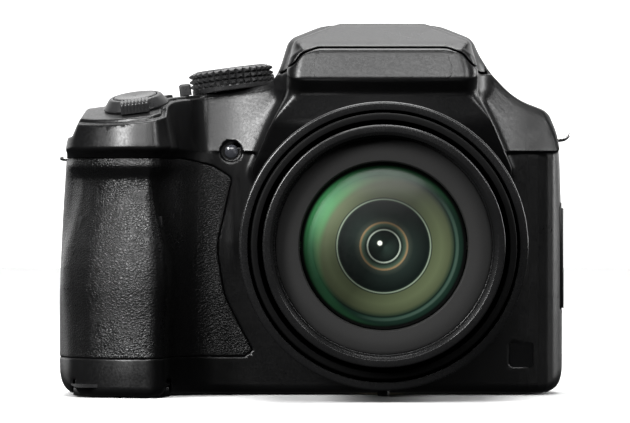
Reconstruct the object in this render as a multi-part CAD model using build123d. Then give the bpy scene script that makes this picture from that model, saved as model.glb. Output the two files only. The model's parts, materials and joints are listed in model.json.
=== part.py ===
from build123d import *
from math import atan, cos, degrees, sin, sqrt
import os

# Bridge camera, millimetres. The front looks along -Y and +Z is up.
# The origin is the mouth of the tripod socket, straight below the lens axis.

# Body envelope, from the lens axis and the underside
GRIP_SIDE = 83.5
FAR_SIDE = 47.7
REAR_Y = 24.0
FRONT_Y = -14.0
GRIP_NOSE_Y = -46.5
SHELF_Z = 62.5
SEAM_Z = 67.2
FRONT_SEAM_DROP = 0.2
SHOULDER_LEAN = 0.35
SPLIT_Y = 8.0
WALL = 2.0
LENS_Z = 38.5
SIDE_SWELL = 1.0

# Decks on top: the dial deck rolls up towards the hump, the grip deck also falls forward
DECK_Z = 78.6
DECK_ROLL = 0.13
GRIP_DECK_PITCH = 0.203
GRIP_DECK_Z = 73.9

# Hump over the lens: its rise above the dial deck, and what lies below its top
HUMP_RISE = 16.8
HUMP_SHOULDER_DROP = 4.8
HUMP_FLOOR_DROP = 15.4
CAP_SEAM_DROP = 6.7
CAP_SIDE_SEAM_DROP = 12.4
HUMP_TOP_HALF = 10.5
HUMP_HALF = 24.3
HUMP_NOSE_Y = -52.0
HUMP_TOP_Z = DECK_Z + HUMP_RISE
HUMP_SHOULDER_Z = HUMP_TOP_Z - HUMP_SHOULDER_DROP
HUMP_FLOOR_Z = HUMP_TOP_Z - HUMP_FLOOR_DROP
CAP_SEAM_Z = HUMP_TOP_Z - CAP_SEAM_DROP
CAP_SIDE_SEAM_Z = HUMP_TOP_Z - CAP_SIDE_SEAM_DROP
CAP_GAP = 0.25
PLATE_T = 1.2
PLATE_TOP_HALF = 16.6
PLATE_LOW_HALF = 19.0

# Cutters reach this far, past the body on every side
REACH = 150.0

# Fits
RUN_FIT = 0.05
SLIP_FIT = 0.2
SEAT_GAP = 0.3

# Lens barrels, radii about the lens axis
SHROUD_R = 36.0
SHROUD_BORE_R = 33.9
SHROUD_LENGTH = 64.0
SHROUD_FLANGE_T = 2.0
SHROUD_HOLE_R = 16.0
OUTER_BARREL_R = 33.1
OUTER_BARREL_BORE_R = 31.4
OUTER_BARREL_LENGTH = 61.0
OUTER_BARREL_GAP = 3.0
INNER_BARREL_R = 30.1
INNER_BARREL_BORE_R = 28.4
INNER_BARREL_LENGTH = 61.0
INNER_BARREL_GAP = 7.5
GUIDE_BAND = 4.0
FILTER_R = 27.5
FILTER_DEPTH = 4.0
NAME_RING_R = 27.0
NAME_RING_T = 1.5

# Glass
FRONT_LENS_R = 20.6
FRONT_LENS_T = 5.6
FRONT_LENS_BULGE_R = 62.0
SECOND_LENS_R = 18.5
SECOND_LENS_T = 4.0
CELL_WALL = 1.6
VARIATOR_LENS_R = 9.0
VARIATOR_LENS_T = 5.0
VARIATOR_BULGE_R = 24.0
VARIATOR_AHEAD = 36.0
VARIATOR_Y = FRONT_Y - VARIATOR_AHEAD
FOCUS_LENS_R = 7.0
FOCUS_LENS_T = 3.0
FOCUS_BULGE_R = 20.0
FOCUS_AHEAD = 13.0
FOCUS_Y = FRONT_Y - FOCUS_AHEAD
IRIS_T = 2.4
ROD_R = 1.0
ROD_X = 21.0
ROD_LENGTH = 46.0
CARRIER_R = 24.5
CARRIER_T = 2.0
HUB_WALL = 2.0
IRIS_WALL = 5.0

# Where the tubes end, from the face they are fixed to
SHROUD_NOSE_Y = FRONT_Y - SHROUD_LENGTH
FLANGE_Y = FRONT_Y - SHROUD_FLANGE_T
OUTER_BARREL_NOSE_Y = FLANGE_Y - OUTER_BARREL_GAP - OUTER_BARREL_LENGTH
INNER_BARREL_NOSE_Y = FLANGE_Y - INNER_BARREL_GAP - INNER_BARREL_LENGTH

# Chassis, boards and sensor
CHASSIS_T = 1.5
BOARD_MARGIN = 7.7
CHASSIS_HALF = FAR_SIDE - BOARD_MARGIN - 2.0
CHASSIS_LOW_Z = 6.0
CHASSIS_TOP_Z = SHELF_Z - 2.5
POST_R = 2.0
POST_ZS = (12.0, 55.0)
BOARD_T = 1.6
BOARD_Y = 8.2
BOARD_HALF = FAR_SIDE - BOARD_MARGIN
BOARD_LOW_Z = 8.0
BOARD_TOP_Z = SHELF_Z - 1.5
CHIP_T = 1.4
CHIPS = [
    (-14.0, 40.0, 16.0, 16.0),
    (12.0, 44.0, 12.0, 12.0),
    (10.0, 22.0, 14.0, 8.0),
    (-24.0, 18.0, 9.0, 9.0),
]
SENSOR_W = 10.0
SENSOR_H = 8.0
SENSOR_T = 1.2
SENSOR_BOARD_W = 26.0
SENSOR_POST_R = 1.4
MOTOR_R = 4.0
MOTOR_LENGTH = 14.0
MOTOR_X = 24.0
MOTOR_Z = 12.0
GEAR_T = 3.0
CAPACITOR_R = 5.0
CAPACITOR_TOP_Z = 36.0
CAPACITOR_X = -44.5
CAPACITOR_Y = -5.2

# Battery, card and their door
BATTERY_X = -67.0
BATTERY_W = 19.0
BATTERY_D = 28.0
BATTERY_H = 42.0
BATTERY_REAR_Y = -2.5
BATTERY_LOW_Z = 2.6
BOX_WALL = 1.0
CARD_W = 24.0
CARD_D = 2.1
CARD_H = 32.0
DOOR_LEFT_X = -79.0
DOOR_RIGHT_X = -54.6
DOOR_FRONT_Y = -32.0
DOOR_REAR_Y = 7.4
DOOR_GAP = 0.2
DOOR_PIN_R = 0.6
LATCH_W = 5.0
LATCH_D = 9.0
LATCH_TRAVEL = 2.5

# Rear screen and eyepiece
SCREEN_X = 4.0
SCREEN_Z = 32.0
SCREEN_W = 69.0
SCREEN_H = 53.0
SCREEN_T = 1.2
SCREEN_CORNER_R = 2.0
PANEL_T = 3.0
EVF_Z = DECK_Z - 0.6
EVF_W = 22.0
EVF_H = 13.0
EVF_FRONT_Y = -5.5
EYE_W = 15.0
EYE_H = 11.0
EYE_PROUD = 0.6
EYE_DOME_R = 30.0
EYE_MARGIN = 3.0
EYECUP_W = 34.0
EYECUP_H = 20.0
EYECUP_D = 10.0

# Top controls
LEVER_X = -62.9
LEVER_Y = -28.0
LEVER_BASE_R = 8.4
LEVER_TOP_R = 6.4
LEVER_H = 3.0
TAB_W = 7.2
TAB_OUT = 1.8
TAB_GROOVES = 8
SHUTTER_R = 5.5
SHUTTER_H = 1.2
STEM_R = 2.0
DIAL_X = -38.5
DIAL_R = 11.0
DIAL_H = 4.2
DIAL_BASE_H = 1.5
DIAL_CAP_R = 9.1
DIAL_KNURLS = 38
KNURL_W = 0.9
SPINDLE_R = 2.5

# Rear controls
KEY_R = 3.0
KEY_RISE = 1.0
KEY_FLANGE = 0.8
KEY_FLANGE_T = 0.8
KEY_TRAVEL = 0.6
PAD_X = -58.0
PAD_Z = 32.0
PAD_R = 10.0
SET_R = 4.2
THUMB_DIAL_X = -60.0
THUMB_DIAL_R = 9.0
THUMB_DIAL_T = 3.4
THUMB_DIAL_OUT = 1.5
THUMB_DIAL_NOTCHES = 32
THUMB_PIN_R = 1.4

# Flash head in the cap
FLASH_AXIS_Y = -10.0
FLASH_AXIS_DROP = 3.8
FLASH_PIN_R = 0.8
FLASH_OPEN = 55.0
FLASH_HEAD_W = 30.0
FLASH_HEAD_D = 9.0
FLASH_HEAD_Y = -31.0
FLASH_HEAD_Z = HUMP_FLOOR_Z + 3.4
FLASH_MOUTH_UP = 2.8
FLASH_TUBE_R = 0.75

# Terminal cover on the far side
COVER_FRONT_Y = -6.0
COVER_REAR_Y = 7.0
COVER_LOW_Z = 22.0
COVER_HIGH_Z = 48.0
COVER_PIN_R = 0.5
PORT_DEPTH = 7.7
PORT_WALL = 0.5
PORT_W = 7.0
PORTS = [(41.0, 3.4), (29.0, 2.8)]

# Grip skin
SKIN_T = 0.8
SKIN_TOP_Z = 60.8
SKIN_LOW_Z = 9.6

# Underside
FOOT_R = 2.3
FOOT_H = 0.5
SOCKET_R = 6.0
SOCKET_H = 7.0
THREAD_R = 3.175
THREAD_DEPTH = 5.5

os.makedirs("parts", exist_ok=True)


# Small builders
def outline(points, radii, inset=0.0):
    face = make_face(FilletPolyline(*points, radius=radii, close=True))
    if inset:
        face = offset(face, amount=-inset)
    return face


def mirrored(half):
    return half + [(-x, z) for x, z in reversed(half)]


def prism_x(face, x0, x1):
    return Pos(x0, 0, 0) * extrude(Plane.YZ * face, amount=x1 - x0)


def prism_y(face, y0, y1):
    return Pos(0, y1, 0) * extrude(Plane.XZ * face, amount=y1 - y0)


def prism_z(face, z0, z1):
    return Pos(0, 0, z0) * extrude(face, amount=z1 - z0)


def block(x0, x1, y0, y1, z0, z1):
    return Pos((x0 + x1) / 2, (y0 + y1) / 2, (z0 + z1) / 2) * Box(x1 - x0, y1 - y0, z1 - z0)


def standing(r, length):
    return Cylinder(r, length, align=(Align.CENTER, Align.CENTER, Align.MIN))


def rod_x(r, x0, x1, y, z):
    return Pos(x0, y, z) * Rot(0, 90, 0) * standing(r, x1 - x0)


def rod_y(r, y0, y1, x=0.0, z=LENS_Z):
    return Pos(x, y0, z) * Rot(-90, 0, 0) * standing(r, y1 - y0)


def rod_z(r, z0, z1, x, y):
    return Pos(x, y, z0) * standing(r, z1 - z0)


def ring_y(r_out, r_in, y0, y1, x=0.0, z=LENS_Z):
    return rod_y(r_out, y0, y1, x, z) - rod_y(r_in, y0 - 1, y1 + 1, x, z)


def lens_y(r, y_front, thickness, bulge_r):
    # Disc with a domed front face, turned from its half section
    def sag(x):
        return bulge_r - sqrt(bulge_r ** 2 - x ** 2)

    rim = Polyline((r, sag(r)), (r, thickness), (0, thickness), (0, 0))
    dome = ThreePointArc((0, 0), (r / 2, sag(r / 2)), (r, sag(r)))
    return Pos(0, y_front, LENS_Z) * revolve(make_face(Curve() + [dome, rim]), Axis.Y)


def soft_slab_y(w, h, r, y0, y1, x, z):
    return prism_y(Pos(x, z) * RectangleRounded(w, h, r), y0, y1)


def save(name, *solids):
    piece = solids[0] if len(solids) == 1 else Compound(children=list(solids))
    export_step(piece, "parts/" + name + ".step")


# Body form: front view, plan view and grip profile crossed, then the grip deck cut
def deck_z(x):
    # Height of the dial deck across the body
    return DECK_Z + DECK_ROLL * (x - DIAL_X)


def front_view(inset):
    left_top = -GRIP_SIDE + 4.0
    deck_end = -HUMP_HALF - 3.0
    points = [
        (-GRIP_SIDE - SIDE_SWELL, 0),
        (-GRIP_SIDE - SIDE_SWELL, 26),
        (-GRIP_SIDE + 2.2, SHELF_Z),
        (left_top, deck_z(left_top)),
        (deck_end, deck_z(deck_end)),
        (HUMP_HALF + 4, deck_z(deck_end) - 1.2),
        (FAR_SIDE - 11.5, 75.8),
        (FAR_SIDE - 4.2, 73.0),
        (FAR_SIDE - 0.6, 64.0),
        (FAR_SIDE + SIDE_SWELL, 36),
        (FAR_SIDE + SIDE_SWELL, 0),
    ]
    radii = [7.0, 40.0, 20.0, 4.0, 8.0, 8.0, 12.0, 5.0, 30.0, 60.0, 7.0]
    return outline(points, radii, inset)


def plan_view(inset):
    grip_x = BATTERY_X
    points = [
        (-GRIP_SIDE, REAR_Y),
        (-GRIP_SIDE, -24),
        (-GRIP_SIDE + 4.0, GRIP_NOSE_Y + 6.0),
        (grip_x - 1.5, GRIP_NOSE_Y - 0.1),
        (grip_x + 8.5, GRIP_NOSE_Y + 1.1),
        (grip_x + 13.5, GRIP_NOSE_Y + 10.5),
        (grip_x + 14.5, FRONT_Y - 8.0),
        (grip_x + 20.0, FRONT_Y),
        (FAR_SIDE, FRONT_Y),
        (FAR_SIDE, REAR_Y),
    ]
    radii = [8.0, 30.0, 16.0, 16.0, 8.0, 20.0, 8.0, 9.0, 6.0, 8.0]
    return outline(points, radii, inset)


def grip_profile(inset):
    points = [
        (REAR_Y + 5, -5),
        (REAR_Y + 5, 110),
        (GRIP_NOSE_Y - 4, 110),
        (GRIP_NOSE_Y - 4, SHELF_Z + 1.5),
        (GRIP_NOSE_Y + 5.5, SHELF_Z - 3.1),
        (GRIP_NOSE_Y + 5.2, 54),
        (GRIP_NOSE_Y + 1.2, 42),
        (GRIP_NOSE_Y + 1.5, 27),
        (GRIP_NOSE_Y + 7.0, -5),
    ]
    return outline(points, [1, 1, 1, 4.0, 3.0, 7.0, 16.0, 24.0, 1], inset)


def grip_deck_cut(inset):
    pitch = degrees(atan(GRIP_DECK_PITCH))
    roll = -degrees(atan(DECK_ROLL))
    above = Pos(0, 0, REACH / 2) * Box(2 * REACH, 2 * REACH, REACH)
    return Pos(LEVER_X, LEVER_Y, GRIP_DECK_Z - inset) * Rot(pitch, roll, 0) * above


def shoulder_cut(inset):
    # Beside the hump the front face leans back above the shelf
    rise = 40.0
    y_far = FRONT_Y - 60.0
    y_low = FRONT_Y + inset * cos(atan(SHOULDER_LEAN))
    z_low = SHELF_Z - inset * sin(atan(SHOULDER_LEAN))
    y_high = y_low + SHOULDER_LEAN * rise
    z_high = z_low + rise
    wedge = Polyline((y_low, z_low), (y_high, z_high), (y_far, z_high), (y_far, z_low), close=True)
    return prism_x(make_face(wedge), BATTERY_X + 18.0 + inset, REACH)


def body_form(inset=0.0):
    form = prism_y(front_view(inset), -REACH, REACH)
    form &= prism_z(plan_view(inset), -REACH, REACH)
    form &= prism_x(grip_profile(inset), -REACH, REACH)
    grip_zone = block(-REACH, -HUMP_HALF - 3.0, -REACH, REACH, 0, REACH)
    return form - (grip_deck_cut(inset) & grip_zone) - shoulder_cut(inset)


def hump_front_view(inset, housing):
    top = [(HUMP_TOP_HALF, HUMP_TOP_Z), (HUMP_HALF - 1.8, HUMP_SHOULDER_Z)]
    if housing:
        flank = [
            (HUMP_HALF, CAP_SIDE_SEAM_Z),
            (HUMP_HALF, HUMP_FLOOR_Z - 3.0),
            (HUMP_HALF + 4.4, SHELF_Z + 6.0),
            (SHROUD_R - 2.5, SHELF_Z - 5.0),
            (SHROUD_R - 5.5, SHELF_Z - 12.0),
        ]
        half_radii = [3.0, 2.5, 10.0, 5.0, 12.0, 3.0, 0.5]
    else:
        flank = [
            (HUMP_HALF + 0.2, CAP_SIDE_SEAM_Z + 1.5),
            (HUMP_HALF + 3.0, HUMP_FLOOR_Z + 0.5),
            (HUMP_HALF + 9.0, HUMP_FLOOR_Z - 2.5),
            (HUMP_HALF + 9.0, SHELF_Z - 2.0),
        ]
        half_radii = [3.0, 2.5, 4.0, 4.0, 2.0, 1.0]
    half = top + flank
    return outline(mirrored(half), half_radii + half_radii[::-1], inset)


def hump_profile(inset):
    points = [
        (REAR_Y, SHELF_Z - 12.0),
        (REAR_Y, HUMP_SHOULDER_Z - 4.0),
        (REAR_Y - 14.0, HUMP_TOP_Z - 2.6),
        (FLASH_AXIS_Y + 2.0, HUMP_TOP_Z),
        (HUMP_NOSE_Y + 16.0, HUMP_TOP_Z),
        (HUMP_NOSE_Y + 5.5, HUMP_SHOULDER_Z - 0.5),
        (HUMP_NOSE_Y + 2.2, CAP_SEAM_Z - 0.6),
        (HUMP_NOSE_Y, HUMP_FLOOR_Z + 0.5),
        (HUMP_NOSE_Y + 4.5, HUMP_FLOOR_Z - 2.8),
        (HUMP_NOSE_Y + 5.5, SHELF_Z + 7.5),
        (HUMP_NOSE_Y + 12.0, SHELF_Z - 2.0),
        (HUMP_NOSE_Y + 22.0, SHELF_Z - 12.0),
    ]
    radii = [0.5, 3.0, 10.0, 20.0, 4.0, 3.0, 2.2, 1.2, 2.2, 6.0, 8.0, 0.5]
    return outline(points, radii, inset)


def hump_form():
    rear = prism_y(hump_front_view(0, False), FRONT_Y - 4, REACH)
    front = prism_y(hump_front_view(0, True), -REACH, FRONT_Y + 1)
    return (rear + front) & prism_x(hump_profile(0), -REACH, REACH)


def hump_cavity():
    tall = prism_y(hump_front_view(WALL, True), -REACH, REACH)
    side = prism_x(hump_profile(WALL), -REACH, REACH)
    tall &= side & Pos(0, PLATE_T, 0) * side
    return tall & block(-REACH, REACH, -REACH, REAR_Y, HUMP_FLOOR_Z, HUMP_TOP_Z)


def seam_zone(lift):
    # Everything above the seam of the flash cap in the front view
    low = CAP_SIDE_SEAM_Z + lift
    high = CAP_SEAM_Z + lift
    half = [
        (HUMP_HALF - 7.8, high),
        (HUMP_HALF - 3.7, high - 1.6),
        (HUMP_HALF - 1.7, low + 1.4),
        (HUMP_HALF + 1.5, low),
        (2 * HUMP_HALF, low),
        (2 * HUMP_HALF, REACH),
    ]
    half_radii = [6.0, 4.0, 3.0, 3.0, 1.0, 1.0]
    order = [(-x, z) for x, z in reversed(half)] + half
    return prism_y(outline(order, half_radii[::-1] + half_radii), -REACH, REAR_Y)


FLASH_AXIS_Z = HUMP_TOP_Z - FLASH_AXIS_DROP


def cap_zone(gap):
    # The cap ends behind in a round edge about its hinge axis
    front = block(-REACH, REACH, -REACH, FLASH_AXIS_Y + gap, 0, REACH)
    curl = rod_x(FLASH_AXIS_DROP + gap, -REACH, REACH, FLASH_AXIS_Y, FLASH_AXIS_Z)
    return (front + curl) & seam_zone(-gap)


def cap_swing():
    # The roof of the raised cap reaches behind its axis
    roof = block(-REACH, REACH, -12.0, 0, 0, FLASH_AXIS_DROP + CAP_GAP)
    return Pos(0, FLASH_AXIS_Y, FLASH_AXIS_Z) * Rot(-FLASH_OPEN, 0, 0) * roof


def plate_outline():
    half = [(PLATE_TOP_HALF, CAP_SEAM_Z - 0.9), (PLATE_LOW_HALF, HUMP_FLOOR_Z + 0.4)]
    return outline(mirrored(half), [2.0, 2.5, 2.5, 2.0])


def door_zone(gap, top=WALL):
    return block(DOOR_LEFT_X - gap, DOOR_RIGHT_X + gap, DOOR_FRONT_Y - gap, DOOR_REAR_Y + gap, -1, top)


def skin_zone():
    points = [
        (-REACH, SKIN_TOP_Z),
        (-51.4, SKIN_TOP_Z),
        (-43.6, SKIN_TOP_Z - 1.8),
        (-38.6, SKIN_TOP_Z - 5.0),
        (-42.6, 38.0),
        (-40.6, 25.0),
        (-33.2, SKIN_LOW_Z + 1.6),
        (-35.4, SKIN_LOW_Z),
        (-REACH, SKIN_LOW_Z),
    ]
    face = outline(points, [1, 6, 5, 1.6, 16, 20, 0.8, 1.2, 1])
    return prism_y(face, -REACH, SPLIT_Y - 1.0)


# Frames of the two decks and of the rear face, local z pointing out
DECK_TILT = -degrees(atan(DECK_ROLL))


def on_dial_deck(x, y):
    return Pos(x, y, deck_z(x)) * Rot(0, DECK_TILT, 0)


def on_grip_deck():
    return Pos(LEVER_X, LEVER_Y, GRIP_DECK_Z) * Rot(degrees(atan(GRIP_DECK_PITCH)), DECK_TILT, 0)


def on_rear(x, z):
    return Pos(x, REAR_Y, z) * Rot(-90, 0, 0)


def rod(r, z0, z1):
    return rod_z(r, z0, z1, 0, 0)


def ring(r_out, r_in, z0, z1):
    return rod(r_out, z0, z1) - rod(r_in, z0 - 1, z1 + 1)


# Keys: a cap through the wall with a flange behind it
def key(place, r, rise=KEY_RISE, layer=0, bore=0.0):
    seat = -WALL - SEAT_GAP / 2 - layer * (KEY_FLANGE_T + KEY_TRAVEL + SEAT_GAP / 2)
    body = rod(r, seat - KEY_FLANGE_T, rise) + rod(r + KEY_FLANGE, seat - KEY_FLANGE_T, seat)
    if bore:
        body -= rod(bore, seat - KEY_FLANGE_T - 1, rise + 1)
    return place * body


def key_hole(place, r):
    return place * rod(r + SLIP_FIT, -WALL - 2, 6)


MOVIE_KEY = on_dial_deck(-57.0, -8.0)
BURST_KEY = on_dial_deck(-67.5, -5.0)
AE_KEY = on_rear(-45.0, SEAM_Z + 4.2)
EVF_KEY = on_rear(-21.5, SEAM_Z + 4.8)
PLAY_KEY = on_rear(-44.0, 51.0)
DELETE_KEY = on_rear(-44.0, 13.0)
PAD_KEY = on_rear(PAD_X, PAD_Z)
DIAL_PLACE = on_dial_deck(DIAL_X, 0.0)
LEVER_PLACE = on_grip_deck()
SWITCH_PLACE = on_dial_deck(-50.6, -9.0)
SWITCH_W = 3.0
SWITCH_D = 6.0
SWITCH_H = 3.2
SWITCH_TRAVEL = 3.0
SWITCH_STEM_W = 1.6
SWITCH_STEM_D = 3.0
FLASH_KEY_PLACE = on_dial_deck(-HUMP_HALF - 5.6, 12.0)
FLASH_KEY_R = 2.4

THUMB_DIAL_Y = REAR_Y + THUMB_DIAL_OUT - THUMB_DIAL_R
THUMB_DIAL_LOW_Z = SEAM_Z + 1.6
DIOPTER_X = 20.0
DIOPTER_R = 4.0
DIOPTER_T = 3.0
DIOPTER_Z = SEAM_Z + 5.4
DIOPTER_OUT = 0.9
DIOPTER_PIN_R = 0.8
DIOPTER_EAR_T = 1.4
DIOPTER_Y = REAR_Y + DIOPTER_OUT - DIOPTER_R

DOOR_AXIS_Y = DOOR_REAR_Y - WALL / 2
DOOR_AXIS_Z = WALL / 2
COVER_AXIS_X = FAR_SIDE - WALL / 2
COVER_AXIS_Y = COVER_FRONT_Y + WALL / 2

LAMP_X = -38.8
LAMP_Z = 62.7
LAMP_R = 1.7
LAMP_RECESS_R = 2.8
LAMP_RECESS_DEPTH = 1.0
SCREW_R = 1.3
SCREW_T = 1.4
SCREW_SPOTS = [(-40.0, -7.0), (-40.0, 17.0), (-8.0, 17.0), (32.0, -7.0), (32.0, 17.0)]
FOOT_SPOTS = [(-66.0, 15.5), (36.8, 8.0), (-66.0, -36.2)]
BARREL_FOOT_BACK = 8.0
BARREL_FOOT_Y = SHROUD_NOSE_Y + BARREL_FOOT_BACK
BARREL_FOOT_R = 1.5
LUG_T = 1.5
LUG_W = 10.5
LUG_OUT = 3.0
LUG_Y = 2.5
LUG_BAR = 1.2
LEFT_LUG_Z = 60.6
RIGHT_LUG_Z = 65.7
BADGE_X = 36.5
BADGE_Z = 10.0
BADGE_SIZE = 6.3
BADGE_T = 0.5
MIC_X = 6.6
MIC_W = 2.8


def wall_x(z):
    # Half width of the body at the two strap lugs
    return -GRIP_SIDE + 2.0 if z < SHELF_Z else FAR_SIDE - 0.9


def lug(z, side, grow=0.0):
    face = wall_x(z)
    x_in = face - side * WALL
    x_out = face + side * LUG_OUT
    y0 = LUG_Y - LUG_W / 2 - grow
    y1 = LUG_Y + LUG_W / 2 + grow
    half_t = LUG_T / 2 + grow
    plate = block(min(x_in, x_out), max(x_in, x_out), y0, y1, z - half_t, z + half_t)
    if grow:
        return plate
    bar = x_out - side * LUG_BAR
    slot = block(min(face, bar), max(face, bar), y0 + LUG_BAR, y1 - LUG_BAR, z - LUG_T, z + LUG_T)
    corners = (plate - slot).edges().filter_by(Axis.Z).group_by(Axis.X)[0 if side < 0 else -1]
    return fillet(corners, LUG_BAR * 0.8)


def screen_opening():
    wide = SCREEN_W + SLIP_FIT
    high = SCREEN_H + SLIP_FIT
    recess = soft_slab_y(wide, high, SCREEN_CORNER_R, REAR_Y - SCREEN_T, REAR_Y + 1, SCREEN_X, SCREEN_Z)
    light = soft_slab_y(SCREEN_W - 8, SCREEN_H - 6, 1.5, REAR_Y - WALL - 1, REAR_Y, SCREEN_X, SCREEN_Z)
    return recess + light


def cover_zone(gap):
    return block(
        FAR_SIDE - WALL - 0.01, FAR_SIDE + 1,
        COVER_FRONT_Y - gap, COVER_REAR_Y + gap, COVER_LOW_Z - gap, COVER_HIGH_Z + gap,
    )


def thumb_dial_ears():
    low = THUMB_DIAL_LOW_Z + THUMB_DIAL_T + SLIP_FIT
    high = deck_z(THUMB_DIAL_X) - WALL / 2
    post = rod_z(2 * THUMB_PIN_R, low, high, THUMB_DIAL_X, THUMB_DIAL_Y)
    return post + rod_z(THUMB_PIN_R, THUMB_DIAL_LOW_Z, low + 1, THUMB_DIAL_X, THUMB_DIAL_Y)


def diopter_ears():
    ears = None
    for side in (-1, 1):
        near = DIOPTER_X + side * (DIOPTER_T / 2 + SLIP_FIT)
        far = near + side * DIOPTER_EAR_T
        low = min(near, far)
        high = max(near, far)
        ear = block(low, high, DIOPTER_Y - 2, REAR_Y - WALL / 2, DIOPTER_Z - 2, DIOPTER_Z + 2)
        ear -= rod_x(DIOPTER_PIN_R + RUN_FIT, low - 1, high + 1, DIOPTER_Y, DIOPTER_Z)
        ears = ear if ears is None else ears + ear
    return ears


FLASH_EAR_R = 1.5
FLASH_EAR_X = 6.8
FLASH_EAR_T = 2.6
FLASH_KNUCKLE_X = 3.0


def flash_ears():
    ears = None
    for side in (-1, 1):
        a = side * FLASH_EAR_X
        b = side * (FLASH_EAR_X + FLASH_EAR_T)
        ear = rod_x(FLASH_EAR_R, min(a, b), max(a, b), FLASH_AXIS_Y, FLASH_AXIS_Z)
        ear += block(min(a, b), max(a, b), FLASH_AXIS_Y - FLASH_EAR_R, FLASH_AXIS_Y + FLASH_EAR_R,
                     HUMP_FLOOR_Z - WALL / 2, FLASH_AXIS_Z)
        ears = ear if ears is None else ears + ear
    return ears - rod_x(FLASH_PIN_R + RUN_FIT / 2, -30, 30, FLASH_AXIS_Y, FLASH_AXIS_Z)


def evf_bay():
    bay = block(-EVF_W / 2 - SEAT_GAP, EVF_W / 2 + SEAT_GAP, EVF_FRONT_Y - SEAT_GAP, REAR_Y - WALL,
                EVF_Z - EVF_H / 2 - SEAT_GAP, EVF_Z + EVF_H / 2 + SEAT_GAP)
    eye = soft_slab_y(EYE_W + SLIP_FIT, EYE_H + SLIP_FIT, 2.0, REAR_Y - WALL - 1, REAR_Y + 1, 0, EVF_Z)
    return bay + eye


# Shells
FORM = body_form() + hump_form()
HOLLOW = body_form(WALL) + hump_cavity() + evf_bay()
SHELL = FORM - HOLLOW


def plate_zone():
    skin = hump_form() - Pos(0, PLATE_T, 0) * hump_form()
    return skin & prism_y(plate_outline(), -REACH, HUMP_NOSE_Y + 5)


PLATE = plate_zone()


def below(z):
    return block(-REACH, REACH, -REACH, REACH, -REACH, z)


def ahead(y):
    return block(-REACH, REACH, -REACH, y, -REACH, REACH)


def base_holes():
    holes = rod_z(SOCKET_R + RUN_FIT, -1, WALL + 1, 0, 0)
    for x, y in SCREW_SPOTS:
        holes += rod_z(SCREW_R + RUN_FIT, -1, SCREW_T, x, y)
    return holes


def front_holes():
    bore = rod_y(SHROUD_R + RUN_FIT, -REACH, FRONT_Y)
    bore += rod_y(SHROUD_HOLE_R, FRONT_Y - 1, FRONT_Y + WALL + 1)
    lamp = rod_y(LAMP_RECESS_R, FRONT_Y - 10, FRONT_Y + LAMP_RECESS_DEPTH, LAMP_X, LAMP_Z)
    return bore + lamp


def badge(grow=0.0):
    size = BADGE_SIZE + grow
    return soft_slab_y(size, size, 0.8, FRONT_Y - 0.01, FRONT_Y + BADGE_T, BADGE_X, BADGE_Z)


def cover_trunnions(r, reach):
    return rod_z(r, COVER_LOW_Z - reach, COVER_HIGH_Z + reach, COVER_AXIS_X, COVER_AXIS_Y)


def lower_zone():
    # The top cover comes down to the shelf in front, and ends higher behind
    front = below(SHELF_Z - FRONT_SEAM_DROP) & ahead(SPLIT_Y)
    return front + (below(SEAM_Z) - ahead(SPLIT_Y))


def front_case():
    case = SHELL & lower_zone() & ahead(SPLIT_Y)
    case -= base_holes() + front_holes()
    case -= badge(RUN_FIT)
    case -= door_zone(DOOR_GAP, 2 * WALL)
    case -= rod_x(DOOR_PIN_R + RUN_FIT / 2, DOOR_LEFT_X - 1.5, DOOR_RIGHT_X + 1.5, DOOR_AXIS_Y, DOOR_AXIS_Z)
    case -= cover_zone(DOOR_GAP)
    case -= cover_trunnions(COVER_PIN_R + RUN_FIT, 1.6)
    case -= lug(LEFT_LUG_Z, -1, 0.02)
    return case - (skin_zone() - body_form(SKIN_T))


def rear_case():
    case = (SHELL & below(SEAM_Z)) - ahead(SPLIT_Y)
    case -= base_holes()
    case -= screen_opening()
    case -= key_hole(PLAY_KEY, KEY_R) + key_hole(DELETE_KEY, KEY_R) + key_hole(PAD_KEY, PAD_R)
    return case


def top_holes():
    holes = key_hole(MOVIE_KEY, KEY_R) + key_hole(BURST_KEY, KEY_R)
    holes += key_hole(AE_KEY, KEY_R) + key_hole(EVF_KEY, KEY_R * 0.9)
    holes += DIAL_PLACE * rod(SPINDLE_R + RUN_FIT, -WALL - 3, 5)
    holes += LEVER_PLACE * rod(STEM_R + RUN_FIT, -WALL - 3, 5)
    holes += FLASH_KEY_PLACE * rod(FLASH_KEY_R + SLIP_FIT, -WALL - 3, 8)
    slot_d = SWITCH_STEM_D + SWITCH_TRAVEL + 2 * SLIP_FIT
    holes += SWITCH_PLACE * Pos(0, SWITCH_TRAVEL / 2, 0) * Box(SWITCH_STEM_W + 2 * SLIP_FIT, slot_d, 10)
    holes += rod_z(THUMB_DIAL_R + SEAT_GAP, THUMB_DIAL_LOW_Z - SLIP_FIT,
                   THUMB_DIAL_LOW_Z + THUMB_DIAL_T + SLIP_FIT, THUMB_DIAL_X, THUMB_DIAL_Y)
    holes += rod_x(DIOPTER_R + SEAT_GAP, DIOPTER_X - DIOPTER_T / 2 - SLIP_FIT,
                   DIOPTER_X + DIOPTER_T / 2 + SLIP_FIT, DIOPTER_Y, DIOPTER_Z)
    return holes


def top_case():
    case = SHELL - lower_zone()
    case -= cap_zone(CAP_GAP) + cap_swing()
    case -= PLATE
    case -= front_holes() + lug(RIGHT_LUG_Z, 1, 0.02)
    case -= top_holes()
    return case + thumb_dial_ears() + diopter_ears() + flash_ears()


def grip_skin():
    skin = (body_form() - body_form(SKIN_T)) & skin_zone()
    return skin - lug(LEFT_LUG_Z, -1, 0.02)


def mic_slots():
    slots = None
    for side in (-1, 1):
        slot = Pos(side * MIC_X, HUMP_NOSE_Y + 17.0, HUMP_TOP_Z) * Box(MIC_W, 0.7, 1.6)
        slots = slot if slots is None else slots + slot
    return slots


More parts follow.
